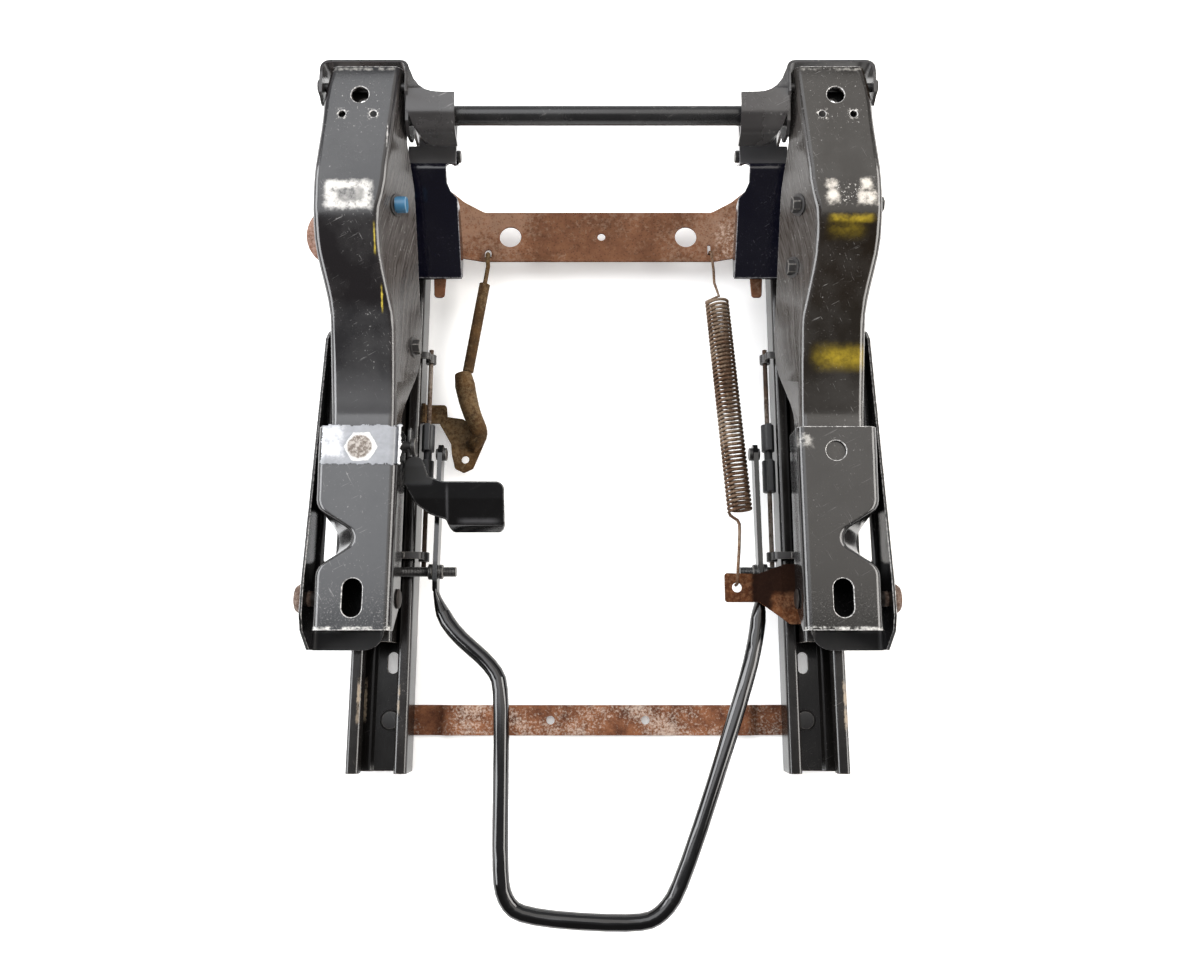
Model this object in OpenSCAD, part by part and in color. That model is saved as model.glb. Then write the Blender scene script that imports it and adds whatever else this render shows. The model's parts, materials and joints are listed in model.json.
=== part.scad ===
// Manual seat slide track: a pair of slide rails with tilting seat brackets, release bar and assist spring.
// Frame: +X to the right seen from the seat's front, +Y to the rear, +Z up, origin amid the floor bolts.

/* [Rails] */
// distance between the two rail centre lines
rail_spacing = 360; // [320:1:420]
// outside width of the lower rail
rail_w = 50; // [44:1:60]
// height of the lower rail
rail_h = 30; // [26:1:36]
// sheet thickness of rails, straps and trays
sheet = 2.5; // [1.5:0.1:3.5]
// length of the lower rail
rail_len = 490; // [420:5:560]
// length of the upper rail
upper_len = 392; // [300:1:460]
// rise of the upper rail above the lower rail's lips
upper_rise = 17.5; // [14:0.5:22]
// running clearance of the nylon glides in the lower rail
glide_gap = 0.35; // [0.2:0.05:0.6]
// distance between the front and rear floor bolts
floor_bolt_y = 300; // [260:5:320]
// radius of the floor bolt holes
floor_hole_r = 4.5; // [3.5:0.25:6]
// width of the front access slots
access_w = 9; // [7:0.5:12]
// length of the front access slots
access_l = 18; // [12:0.5:24]

/* [Straps] */
// width of the front cross strap
strap_w = 25; // [18:1:40]
// width of the rear cross member
cross_w = 48; // [40:1:60]
// drop of the rear cross member between the rails
cross_rise = 8; // [4:0.5:14]
// radius of the belt anchor hole
belt_hole_r = 6.5; // [5:0.25:8]

/* [Seat brackets] */
// sheet thickness of the seat brackets
bracket_t = 2.5; // [2:0.1:3.5]
// how far the seat bolts stand outside the rail line
seat_bolt_off = 10; // [6:0.5:14]
// radius of the rear seat bolt holes
seat_hole_r = 7; // [5:0.5:9]
// rise of the rear bolt face above the upper rail
rear_rise = 100; // [84:1:120]
// rise of the front bolt face above the upper rail
front_rise = 45.5; // [41:0.5:52]
// outside bend radius of the pressed edges
edge_r = 6.5; // [5:0.5:9]
// width of the front bolt slots
front_slot_w = 15.5; // [10:0.5:18]
// length of the front bolt slots
front_slot_l = 30; // [22:0.5:36]
// depth of the scoop in the front caps
scoop_depth = 28; // [16:1:32]

/* [Pivots] */
// radius of the front tilt pivots
pivot_r = 6; // [5:0.5:8]
// rise of the tilt axis above the upper rail
pivot_rise = 22; // [20:0.5:26]
// radius of the latch yoke pivots
yoke_pin_r = 3.5; // [3:0.25:5]
// radius of the release bar studs
stud_r = 4; // [3:0.25:5]
// radius of the lock rods
lock_rod_r = 2; // [1.5:0.1:2.6]
// radial clearance of the running fits
running = 0.05; // [0.02:0.01:0.1]

/* [Bars and spring] */
// outside radius of the latch cross rod
rod_r = 7.9; // [6:0.1:9]
// wall of the latch cross rod
rod_wall = 1.6; // [1:0.1:3]
// outside radius of the release bar
bar_r = 6.5; // [5:0.25:8]
// number of spring turns
spring_turns = 52; // [40:1:64]
// mean radius of the spring
spring_r = 9.4; // [7:0.1:12]
// radius of the spring wire
wire_r = 1.05; // [0.8:0.05:1.4]

/* [Hidden] */
$fn = 40;
rail_x = rail_spacing / 2;
rail_y0 = -rail_len / 2 - 20;
rail_y1 = rail_y0 + rail_len;
upper_y0 = -160;
upper_y1 = upper_y0 + upper_len;
pad = sheet;
lip_u = rail_w / 2 - 8.5 - sheet / 2;
glide_u0 = lip_u + sheet / 2;
glide_u1 = rail_w / 2 - sheet;
flange_u = (glide_u0 + glide_u1) / 2;
leg_u = lip_u - sheet - 2;
floor_step = 1.5 + sheet;
lip_top = pad + rail_h;
upper_top = lip_top + upper_rise;
strap_y = -223.5;
access_y = -176;
bolt_u = -5;
cross_y = 206;
cross_z = lip_top - cross_rise;
ear_y = cross_y + 10;
ear_x = rail_x + rail_w / 2 + 33;
pivot_y = -127;
rear_bolt_y = 268;
front_slot_y = -128;
yoke_y = 280;
yoke_z = rear_rise - 9;
rod_y = 262;
rod_z = rear_rise - 20;
yoke_u = -26.5;
support_u = -61;
bolt_z = rear_rise - 24;
stud_y = -102;
stud_z = -9.5;
bar_u = -leg_u - sheet / 2 - 33;
lock_u = -rail_w / 2 - 7;
lock_z = -23;
clip_z = -10;
paddle_y = -3;
paddle_z = 24;
anchor_y = -116;
anchor_u = -66;
anchor_rise = 1;
hook_u = -79;
link_u = -80;
hook_y = cross_y - 18 + wire_r + 0.3;
eye_y = anchor_y + 4 - wire_r - 0.3;
spring_a = [rail_x - 74, 141, cross_z + 8.5];
spring_b = [rail_x - 61, -52, upper_top - 3];
scoop_y = -81;
dent_a = 57;
tip_r = 10;
lip_r = 12;
dent_tip = tip_r * sin(dent_a);
dent_lip = lip_r * sin(dent_a);
dent_side = (scoop_depth - (tip_r + lip_r) * (1 - cos(dent_a))) / tan(dent_a);
dent = [0, dent_tip * 0.4, dent_tip * 0.75, dent_tip, dent_tip + dent_side / 2, dent_tip + dent_side,
    dent_tip + dent_side + dent_lip * 0.3, dent_tip + dent_side + dent_lip * 0.65, dent_tip + dent_side + dent_lip];
cap_seat = front_rise - bracket_t;
yoke_t = 2.5;

// vectors, bends and offsets for sheet metal sections
function unit(v) = v / norm(v);
function normal2(v) = [-v[1], v[0]];
function flip(p) = [for (i = [len(p) - 1:-1:0]) p[i]];
function bend(a, b, c, r, n) =
    let (u = unit(a - b), w = unit(c - b), half = acos(u * w) / 2, d = r / tan(half),
        o = b + unit(u + w) * (r / sin(half)), p = b + u * d, q = b + w * d,
        a0 = atan2(p[1] - o[1], p[0] - o[0]), a1 = atan2(q[1] - o[1], q[0] - o[0]),
        da = a1 - a0, sw = da > 180 ? da - 360 : da < -180 ? da + 360 : da)
    [for (i = [0:n]) o + r * [cos(a0 + sw * i / n), sin(a0 + sw * i / n)]];
function bent(p, r, n = 4) =
    [p[0], for (i = [1:len(p) - 2]) each bend(p[i - 1], p[i], p[i + 1], r, n), p[len(p) - 1]];
function miter(p, i) =
    i == 0 ? normal2(unit(p[1] - p[0])) :
    i == len(p) - 1 ? normal2(unit(p[i] - p[i - 1])) :
    let (n1 = normal2(unit(p[i] - p[i - 1])), n2 = normal2(unit(p[i + 1] - p[i])), m = unit(n1 + n2))
    m / (m * n1);
function shift(p, d) = [for (i = [0:len(p) - 1]) p[i] + miter(p, i) * d];
function ease(y, a, b) = let (t = max(0, min(1, (y - a) / (b - a)))) t * t * (3 - 2 * t);

// section of a sheet bent along a path, laid in the XY plane
module sheet2d(p, r, t = sheet) {
    c = bent(p, r);
    polygon(concat(shift(c, t / 2), flip(shift(c, -t / 2))));
}

// an outline with its corners rounded
module rounded(r) {
    offset(r = r)
        offset(delta = -r)
            children();
}

// a section drawn in X and Z, run along Y
module along_y(y0, y1) {
    translate([0, y1, 0])
        rotate([90, 0, 0])
            linear_extrude(y1 - y0)
                children();
}

// a section drawn in Y and Z, run along X
module along_x(x0, x1) {
    translate([x0, 0, 0])
        rotate([90, 0, 90])
            linear_extrude(x1 - x0)
                children();
}

module pin_x(r, x0, x1, y, z) {
    translate([x0, y, z])
        rotate([0, 90, 0])
            cylinder(r = r, h = x1 - x0);
}

module pin_y(r, x, y0, y1, z) {
    translate([x, y1, z])
        rotate([90, 0, 0])
            cylinder(r = r, h = y1 - y0);
}

module slot(w, l, x, y, z0, z1) {
    for (s = [-1, 1])
        translate([x, y + s * (l - w) / 2, z0])
            cylinder(d = w, h = z1 - z0);
    translate([x - w / 2, y - (l - w) / 2, z0])
        cube([w, l - w, z1 - z0]);
}

// pieces of one side, drawn from the right rail's centre line, at floor height or on the upper rail
module on(side) {
    if (side > 0)
        translate([rail_x, 0, 0])
            children();
    else
        mirror([1, 0, 0])
            translate([rail_x, 0, 0])
                children();
}
module up(side) {
    on(side)
        translate([0, 0, upper_top])
            children();
}

// solid through a list of rings with the same number of points
module loft(rings) {
    m = len(rings[0]);
    k = m / 2;
    pts = [for (r = rings) each r];
    last = (len(rings) - 1) * m;
    sides = [for (i = [0:len(rings) - 2]) for (j = [0:m - 1])
        let (a = i * m + j, b = i * m + (j + 1) % m)
        each [[a, b, b + m], [a, b + m, a + m]]];
    caps = [for (j = [0:k - 2])
        each [[j, m - 1 - j, j + 1], [j + 1, m - 1 - j, m - 2 - j],
            [last + j, last + j + 1, last + m - 1 - j],
            [last + j + 1, last + m - 2 - j, last + m - 1 - j]]];
    polyhedron(pts, concat(sides, caps));
}

// one station of a pressed channel: y, inner edge, outer edge, top, wall ends and their flares
function channel(s, r, t) =
    let (y = s[0], xi = s[1], xo = s[2], zt = s[3], bi = s[4], bo = s[5], fi = s[6], fo = s[7],
        outer = [[xi - fi, bi], for (i = [0:4]) [xi + r - r * cos(22.5 * i), zt - r + r * sin(22.5 * i)],
            for (i = [0:4]) [xo - r + r * sin(22.5 * i), zt - r + r * cos(22.5 * i)], [xo + fo, bo]],
        inner = [[xi - fi + t, bi],
            for (i = [0:4]) [xi + r - (r - t) * cos(22.5 * i), zt - r + (r - t) * sin(22.5 * i)],
            for (i = [0:4]) [xo - r + (r - t) * sin(22.5 * i), zt - r + (r - t) * cos(22.5 * i)],
            [xo + fo - t, bo]])
    [for (p = concat(outer, flip(inner))) [p[0], y, p[1]]];

// bar swept along points, its frame carried from ring to ring; k gives each ring's two shares of the radius
function carried(t, i, e, acc) =
    i == len(t) ? acc :
    let (f = unit(e - (e * t[i]) * t[i])) carried(t, i + 1, f, concat(acc, [f]));
module sweep(p, r, sides, k = []) {
    n = len(p);
    t = [for (i = [0:n - 1]) unit(p[min(i + 1, n - 1)] - p[max(i - 1, 0)])];
    e = carried(t, 0, cross(t[0], [0.01, 0.02, 0.99]), []);
    pts = [for (i = [0:n - 1]) let (f = cross(t[i], e[i]), q = len(k) > 0 ? k[i] : [1, 1])
        for (j = [0:sides - 1])
            p[i] + r * (e[i] * q[0] * cos(360 * j / sides) + f * q[1] * sin(360 * j / sides))];
    around = [for (i = [0:n - 2]) for (j = [0:sides - 1])
        let (a = i * sides + j, b = i * sides + (j + 1) % sides)
        each [[a, b + sides, b], [a, a + sides, b + sides]]];
    polyhedron(pts, concat(around, [[for (j = [0:sides - 1]) j],
        [for (j = [sides - 1:-1:0]) (n - 1) * sides + j]]));
}

// a smooth line through the middles of its knots
function smooth(q, n) = concat([q[0]], [for (i = [1:len(q) - 2]) for (k = [0:n - 1])
    let (u = k / (n - 1) * 0.98 + 0.01, a = (q[i - 1] + q[i]) / 2, b = q[i], c = (q[i] + q[i + 1]) / 2)
    a * (1 - u) * (1 - u) + b * 2 * u * (1 - u) + c * u * u], [q[len(q) - 1]]);

// Base: lower rails, straps and what is riveted to them
module lower_section() {
    hw = rail_w / 2 - sheet / 2;
    lip_z = rail_h - sheet / 2;
    sheet2d([[-lip_u, rail_h - 10], [-lip_u, lip_z], [-hw, lip_z], [-hw, sheet / 2], [8, sheet / 2],
        [11, floor_step], [hw, floor_step], [hw, lip_z], [lip_u, lip_z], [lip_u, rail_h - 10]], 2.2);
}
module lower_rail(side) {
    color([0.1, 0.1, 0.11])
        on(side)
            difference() {
                translate([0, 0, pad])
                    along_y(rail_y0, rail_y1)
                        lower_section();
                for (s = [-1, 1])
                    translate([bolt_u, s * floor_bolt_y / 2, -1])
                        cylinder(r = floor_hole_r, h = 12);
                slot(access_w, access_l, bolt_u, access_y, -1, 12);
                translate([bolt_u, strap_y, -1])
                    cylinder(r = 4, h = 12);
            }
}
module floor_pads() {
    color([0.12, 0.12, 0.13])
        for (side = [-1, 1])
            for (s = [-1, 1])
                on(side)
                    difference() {
                        translate([-rail_w / 2 + 3, s * floor_bolt_y / 2 - 16, 0])
                            cube([rail_w - 6, 32, pad]);
                        translate([bolt_u, s * floor_bolt_y / 2, -1])
                            cylinder(r = floor_hole_r, h = 12);
                    }
}
module front_strap() {
    color([0.42, 0.3, 0.2])
        difference() {
            along_y(strap_y - strap_w / 2, strap_y + strap_w / 2)
                sheet2d([[-rail_x - 22, pad / 2], [46 - rail_x, pad / 2], [53 - rail_x, 7], [rail_x - 53, 7],
                    [rail_x - 46, pad / 2], [rail_x + 22, pad / 2]], 4, pad);
            for (s = [-1, 1]) {
                translate([s * 40, strap_y, -1])
                    cylinder(r = 3.5, h = 20);
                translate([s * (rail_x + bolt_u), strap_y, -1])
                    cylinder(r = 4, h = 20);
            }
        }
}
module strap_rivets() {
    under = pad + sheet;
    color([0.12, 0.12, 0.13])
        for (s = [-1, 1])
            translate([s * (rail_x + bolt_u), strap_y, 0])
                rotate_extrude()
                    polygon([[0, 0], [4, 0], [4, under], [9, under], [9, under + 1.2], [7, under + 3],
                        [0, under + 3.4]]);
}
module cross_half() {
    seat = rail_x - 14.5;
    polygon([[0, cross_y - cross_w / 2], [rail_x - 75, cross_y - cross_w / 2], [rail_x - 45, cross_y - 22],
        [rail_x - 43, cross_y - 62], [rail_x - 34, cross_y - 62], [rail_x - 32, cross_y - 22],
        [seat, cross_y - 22], [seat, cross_y + 44], [rail_x - 42, cross_y + 44],
        [rail_x - 58, cross_y + 32], [rail_x - 76, cross_y + cross_w / 2], [0, cross_y + cross_w / 2]]);
}
module rear_cross_member() {
    low = cross_z + sheet / 2;
    high = lip_top + sheet / 2;
    color([0.44, 0.31, 0.22])
        difference() {
            intersection() {
                along_y(cross_y - 80, cross_y + 80)
                    sheet2d([[10 - rail_x, high], [43 - rail_x, high], [76 - rail_x, low], [rail_x - 76, low],
                        [rail_x - 43, high], [rail_x - 10, high]], 6);
                linear_extrude(80)
                    offset(r = -9)
                        offset(delta = 9)
                            rounded(3)
                                union() {
                                    cross_half();
                                    mirror([1, 0])
                                        cross_half();
                                }
            }
            for (s = [-1, 1])
                translate([s * 80, cross_y, 0])
                    cylinder(r = 9.8, h = 60);
            translate([3, cross_y, 0])
                cylinder(r = 3.6, h = 60);
            slot(2 * wire_r + 0.7, 10, rail_x + hook_u, cross_y - 13, 0, 60);
            slot(6, 9, -rail_x - link_u, cross_y - 17, 0, 60);
        }
}
module belt_ear() {
    wall = rail_x + rail_w / 2 + 1.5;
    color([0.46, 0.33, 0.25])
        difference() {
            intersection() {
                along_y(ear_y - 34, ear_y + 34)
                    sheet2d([[-wall, pad + rail_h - 4], [-wall, pad + 9], [-ear_x - 42, pad + 9]], 4, 3);
                union() {
                    translate([-ear_x, ear_y, 0])
                        cylinder(r = 33, h = 60, $fn = 72);
                    translate([-ear_x, ear_y - 33, 0])
                        cube([60, 66, 60]);
                }
            }
            translate([-ear_x, ear_y, 0])
                cylinder(r = belt_hole_r, h = 60);
        }
}

// Base: the link on the left, its wire in a sleeve and its stamped crank with a rolled finger
finger = [[-60, 76, 23], [-64, 56, 24], [-70, 36, 24.5], [-78, 21, 21], [-68, 11, 16]];
link_a = finger[0] + [-4, 0.4, 0];
link_b = [link_u - 0.6, cross_y - 30, cross_z + 4.5];
link_turn = atan((link_b[0] - link_a[0]) / (link_b[1] - link_a[1]));
link_rise = atan((link_b[2] - link_a[2]) / norm([link_b[0] - link_a[0], link_b[1] - link_a[1]]));
module link_crank() {
    line = smooth(finger, 7);
    n = len(line);
    color([0.4, 0.29, 0.17])
        on(-1)
            difference() {
                union() {
                    intersection() {
                        along_y(-24, 52)
                            sheet2d([[-rail_w / 2 - 1, 21], [-rail_w / 2 - 1, 14], [-90, 14]], 3, 2);
                        linear_extrude(60)
                            rounded(3)
                                polygon([[-20, 50], [-45, 50], [-46, 39], [-60, 37], [-82, 22], [-74, 2], [-70, -8],
                                    [-62, -12], [-54, -8], [-51, 4], [-50, 14], [-39, 33], [-20, 33]]);
                    }
                    sweep(line, 9, 16, [for (i = [0:n - 1])
                        let (a = min(1, 0.45 + norm(line[i] - line[0]) / 9), w = 1 - 0.3 * i / n)
                        [w * sqrt(1 - (1 - a) * (1 - a)), w * sqrt(1 - (1 - a) * (1 - a))]]);
                }
                translate([-63, 0, 0])
                    cylinder(r = 3.4, h = 40);
            }
}
module link_sleeve() {
    color([0.4, 0.28, 0.2])
        on(-1)
            union() {
                translate(link_a + (link_b - link_a) * 0.02)
                    rotate([-90 + link_rise, 0, -link_turn])
                        cylinder(r = 4.8, h = 82);
                sweep(concat([link_a, link_b], [for (i = [0:4])
                    [link_u, cross_y - 22 + 5 * sin(22.5 * i), cross_z + 1 + 5 * cos(22.5 * i)]],
                    [[link_u, cross_y - 17, cross_z - 6]]), 2, 14);
            }
}

// Carriage: upper rails, glides, trays, latch supports and the lock rods
module upper_section() {
    low = floor_step + sheet + 0.75;
    web = upper_top - pad - sheet / 2;
    sheet2d([[-flange_u, rail_h - 6], [-flange_u, low], [-leg_u, low], [-leg_u, web], [leg_u, web],
        [leg_u, low], [flange_u, low], [flange_u, rail_h - 6]], 2.2);
}
module upper_rail(side) {
    color([0.09, 0.09, 0.1])
        on(side)
            difference() {
                translate([0, 0, pad])
                    along_y(upper_y0, upper_y1)
                        upper_section();
                pin_x(stud_r, -20, 0, stud_y, upper_top + stud_z);
                for (y = [-88, 88])
                    pin_x(2.5, -20, 0, y, upper_top + clip_z);
            }
}
module glide_shoes() {
    wide = glide_u1 - glide_u0 - 2 * glide_gap;
    floor_right = floor_step + sheet / 2 + glide_gap;
    floor_left = sheet + glide_gap;
    roof = rail_h - sheet - glide_gap;
    color([0.75, 0.72, 0.6])
        for (side = [-1, 1])
            for (y = [-150, 180])
                on(side)
                    translate([0, 0, pad])
                        difference() {
                            union() {
                                along_y(y, y + 40)
                                    translate([glide_u0 + glide_gap, floor_right])
                                        square([wide, roof - floor_right]);
                                along_y(y, y + 40)
                                    translate([-glide_u1 + glide_gap, floor_left])
                                        square([wide, roof - floor_left]);
                            }
                            along_y(y - 1, y + 41)
                                upper_section();
                        }
}
module pivot_tray(side) {
    color([0.08, 0.08, 0.09])
        up(side)
            difference() {
                intersection() {
                    along_y(-167, 105)
                        sheet2d([[51.25, 46], [51.25, sheet / 2], [-8.75, sheet / 2], [-8.75, 40]], 5);
                    union() {
                        along_x(20, 60)
                            rounded(3)
                                polygon([[-167, -4], [-167, 14], [-153, 34], [-141, 39], [-112, 38], [95, 12],
                                    [105, 4], [105, -4]]);
                        along_x(-20, 21)
                            polygon([[-167, -1], [-167, 6], [-146, 30], [-138, 33], [-116, 33],
                                [-108, 30], [-92, 4], [105, 4], [105, -1]]);
                    }
                    union() {
                        translate([10, -150, -10])
                            cylinder(r = 17, h = 60);
                        translate([10, -167, -10])
                            cube([60, 272, 60]);
                        translate([-20, -143, -10])
                            cube([60, 248, 60]);
                    }
                }
                translate([0, 0, -10])
                    linear_extrude(16)
                        rounded(4)
                            polygon([[36, -96], [46, -96], [46, -53], [36, -53]]);
                pin_x(pivot_r + running, -20, 70, pivot_y, pivot_rise);
            }
}
module latch_support(side) {
    color([0.09, 0.09, 0.1])
        up(side)
            difference() {
                union() {
                    difference() {
                        along_x(support_u, 10)
                            sheet2d([[106, sheet / 2], [152, sheet / 2], [230, 53.75], [268, 53.75], [274, 46]], 6);
                        translate([-70, 90, -10])
                            cube([58, 64, 20]);
                        translate([-20.5, 164, 5])
                            cube([40, 130, 60]);
                        translate([yoke_u - 2.8, 250, 40])
                            cube([40, 46, 40]);
                    }
                    along_x(support_u, support_u + sheet)
                        rounded(2)
                            polygon([[156, -4], [161, 7], [230, 54], [268, 54], [274, 46], [268, 36],
                                [251, 31], [242, 36], [236, 51], [226, 46], [206, 24], [190, 8], [172, -4]]);
                }
                linear_extrude(80)
                    offset(r = 3)
                        offset(delta = -3)
                            polygon([[support_u - 9, 234], [support_u + 8, 234], [support_u + 8, 220],
                                [support_u + 5, 214], [support_u - 4, 206], [support_u - 9, 206]]);
                pin_x(5, -70, 20, 247, 43);
            }
}
module striker_pins() {
    color([0.07, 0.07, 0.08])
        for (side = [-1, 1])
            up(side)
                union() {
                    pin_x(5, support_u - 2.5, -28.5, 247, 43);
                    pin_x(7, support_u + sheet, support_u + sheet + 3, 247, 43);
                }
}
module lock_rods() {
    color([0.35, 0.3, 0.26])
        for (side = [-1, 1])
            up(side)
                pin_y(lock_rod_r, lock_u, -97, 97, lock_z);
}
module lock_sleeves(side) {
    color([0.12, 0.13, 0.15])
        up(side)
            difference() {
                union() {
                    for (y = [[4, 28], [-32, -4]]) {
                        pin_y(5.6, lock_u, y[0], y[1], lock_z);
                        translate([lock_u - 2.5, y[0], lock_z])
                            cube([5, y[1] - y[0], 8.5]);
                    }
                    pin_y(3.6, lock_u, -6, 6, lock_z);
                }
                pin_y(lock_rod_r + running, lock_u, -60, 60, lock_z);
            }
}
module rod_clips() {
    wall = -leg_u - sheet / 2;
    color([0.08, 0.08, 0.09])
        for (side = [-1, 1])
            for (y = [88, -88])
                up(side)
                    difference() {
                        union() {
                            along_y(y - 3, y + 3)
                                sheet2d([[wall, clip_z], [lock_u, clip_z], [lock_u, lock_z + 3]], 3);
                            pin_y(4.6, lock_u, y - 4, y + 4, lock_z);
                            pin_x(2.5, wall - 6, wall + sheet, y, clip_z);
                        }
                        pin_y(lock_rod_r, lock_u, -130, 130, lock_z);
                    }
}
module bar_studs() {
    color([0.1, 0.1, 0.1])
        for (side = [-1, 1])
            up(side)
                union() {
                    pin_x(stud_r, bar_u - 17, -leg_u + sheet / 2, stud_y, stud_z);
                    pin_x(6.5, bar_u + 2.4, bar_u + 6, stud_y, stud_z);
                    pin_x(6, bar_u - 6, bar_u - 2.4, stud_y, stud_z);
                }
}
module spring_anchor() {
    high = sheet * 1.5;
    color([0.5, 0.31, 0.17])
        up(1)
            difference() {
                intersection() {
                    along_y(-160, -90)
                        sheet2d([[anchor_u - 10, anchor_rise], [anchor_u + 16, anchor_rise], [anchor_u + 36, high],
                            [-8, high]], 4);
                    translate([0, anchor_y, -20])
                        linear_extrude(60)
                            rounded(2.5)
                                polygon([[anchor_u - 10, -12], [anchor_u - 10, 12], [anchor_u + 17, 11],
                                    [anchor_u + 40, 19], [-10.5, 19], [-10.5, -30], [anchor_u + 42, -30],
                                    [anchor_u + 18, -12]]);
                }
                translate([anchor_u, anchor_y, -20])
                    cylinder(r = 4, h = 60);
            }
}
function coil_axis() = unit(spring_b - spring_a);
function coil_u() = unit(cross(coil_axis(), [0, 0, 1]));
function coil_v() = cross(coil_axis(), coil_u());
function coil_at(k) =
    let (a = 360 * spring_turns * k)
    spring_a + (spring_b - spring_a) * k + spring_r * (coil_u() * cos(a) + coil_v() * sin(a));
module assist_spring() {
    steps = spring_turns * 10;
    hx = rail_x + hook_u;
    ax = rail_x + anchor_u;
    az = upper_top + anchor_rise;
    color([0.36, 0.26, 0.2])
        sweep(concat([[hx, hook_y, cross_z - 5], [hx, hook_y, cross_z + 6],
            [hx + 1, cross_y - 22, cross_z + 12], [hx + 3, 158, cross_z + 9.5], [hx + 7, 146, cross_z + 8.5]],
            [for (i = [0:steps]) coil_at(i / steps)],
            [spring_b + [2, -6, 2], spring_b + [-1, -10, 5], [ax + 0.5, anchor_y + 12, az + 5],
                [ax, anchor_y + 5, az + 5], [ax, eye_y, az + 2], [ax, eye_y, az - 7]]), wire_r, 6);
}

// Seat frame: pressed brackets, front caps, pivots and bolts, tilting about the front rivets
top_line = bent([[310, rear_rise - 2], [284, rear_rise], [206, rear_rise], [171, rear_rise - 6],
    [98, cap_seat + 21.5], [18, cap_seat], [-90, cap_seat]], 36, 4);
inner_line = bent([[310, rear_rise - 13], [236, rear_rise - 24], [97, 7], [66, 7], [28, 20], [-90, 20]], 9, 3);
outer_line = bent([[310, rear_rise - 13], [236, rear_rise - 24], [200, rear_rise - 42], [110, 22], [60, 14],
    [-90, 14]], 12, 3);
function in_at(y) = -22.5 + 8.5 * max(0, min(1, (292 - y) / 100)) + 5.5 * ease(y, 196, 166)
    - 9.5 * ease(y, 150, 84) + 0.8 * ease(y, 60, 16);
function low_at(y) = -24.5 - 4.5 * ease(y, 244, 200) + 11.8 * ease(y, 84, 16);
function out_at(y) = 35 + 5 * ease(y, 300, 262) + 5 * ease(y, 262, 180) - 9.7 * ease(y, 158, 92);
function flare_at(y) = in_at(y) - low_at(y);
function wall_in(y, z) =
    let (high = lookup(y, top_line) - edge_r, low = lookup(y, inner_line))
    in_at(y) - flare_at(y) * (high - z) / (high - low);
bracket_ys = concat([294, 291, 286, 276], [for (y = [262:-11:64]) y], [58, 46, 34, 24, 14, 4, -16, -38]);
module seat_bracket(side) {
    color([0.22, 0.22, 0.23])
        up(side)
            difference() {
                loft([for (y = bracket_ys) channel([y, in_at(y), out_at(y), lookup(y, top_line),
                    lookup(y, inner_line), lookup(y, outer_line), flare_at(y), 0], edge_r, bracket_t)]);
                translate([seat_bolt_off, rear_bolt_y, rear_rise - 10])
                    cylinder(r = seat_hole_r, h = 20);
                for (x = [-1.5, 23.5])
                    translate([x, rear_bolt_y - 17, rear_rise - 10])
                        cylinder(r = 2.8, h = 20);
                pin_x(yoke_pin_r + running, -40, 60, yoke_y, yoke_z);
                pin_x(6.6, -40, 0, 185, bolt_z);
                if (side > 0) {
                    pin_x(6.6, -40, 0, 142, 52);
                    pin_x(4, 25, 60, 185, bolt_z);
                }
                else
                    pin_x(6.6, -40, 0, 84, 22);
            }
}
module bolt_plates() {
    x0 = in_at(268) + bracket_t + 0.3;
    x1 = out_at(284) - bracket_t - 0.3;
    color([0.1, 0.1, 0.11])
        for (side = [-1, 1])
            up(side)
                difference() {
                    translate([x0, rear_bolt_y - 24, rear_rise - 16.5])
                        cube([x1 - x0, 40, 3]);
                    translate([seat_bolt_off, rear_bolt_y, rear_rise - 30])
                        cylinder(r = 5, h = 30);
                }
}
function scoop(y) =
    let (d = abs(y - scoop_y))
    d < dent[3] ? scoop_depth - tip_r + sqrt(tip_r * tip_r - d * d) :
    d < dent[5] ? scoop_depth - tip_r * (1 - cos(dent_a)) - (d - dent[3]) * tan(dent_a) :
    d < dent[8] ? lip_r - sqrt(lip_r * lip_r - (dent[8] - d) * (dent[8] - d)) : 0;
function cap_end(y) = lookup(y, [[9, 14], [-131, 12], [-146, 27], [-153, 34]]);
function cap_out(y) = 44 - 3.5 * ease(y, 0, -150) - scoop(y);
cap_ys = concat([9, -15, -38], [for (i = [-8:8]) scoop_y - sign(i) * dent[abs(i)]],
    [-114, -131, -139, -146, -153]);
module front_cap(side) {
    color([0.24, 0.24, 0.25])
        up(side)
            difference() {
                loft([for (y = cap_ys) channel([y, -20.5, cap_out(y), front_rise, cap_end(y), cap_end(y),
                    0, 0.6 * scoop(y)], edge_r, bracket_t)]);
                slot(front_slot_w, front_slot_l, seat_bolt_off, front_slot_y, front_rise - 10, front_rise + 10);
                translate([seat_bolt_off, -11, front_rise - 10])
                    cylinder(r = 8, h = 20);
                pin_x(pivot_r, -40, 60, pivot_y, pivot_rise);
                if (side < 0)
                    pin_x(4, -40, 0, paddle_y, paddle_z);
            }
}
module pivot_rivets() {
    color([0.4, 0.34, 0.3])
        for (side = [-1, 1])
            up(side)
                translate([0, pivot_y, pivot_rise])
                    rotate([0, 90, 0])
                        rotate_extrude()
                            union() {
                                polygon([[0, -23], [6, -22.8], [8, -21.8], [8, -20.8], [pivot_r, -20.8],
                                    [pivot_r, -7.2], [8.5, -7.2], [8.5, -5.4], [0, -5]]);
                                polygon([[0, 34], [8.5, 34.6], [8.5, 37.8], [pivot_r, 37.8], [pivot_r, 52.8],
                                    [13, 52.8], [13, 55], [10, 59.5], [0, 60.5]]);
                            }
}
module wall_bolt(y, z, head, sides) {
    x = wall_in(y, z);
    pin_x(6.5, x - head, x + bracket_t / 2, y, z, $fn = sides);
    pin_x(4, x - head, x + bracket_t + 8, y, z);
}
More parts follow.
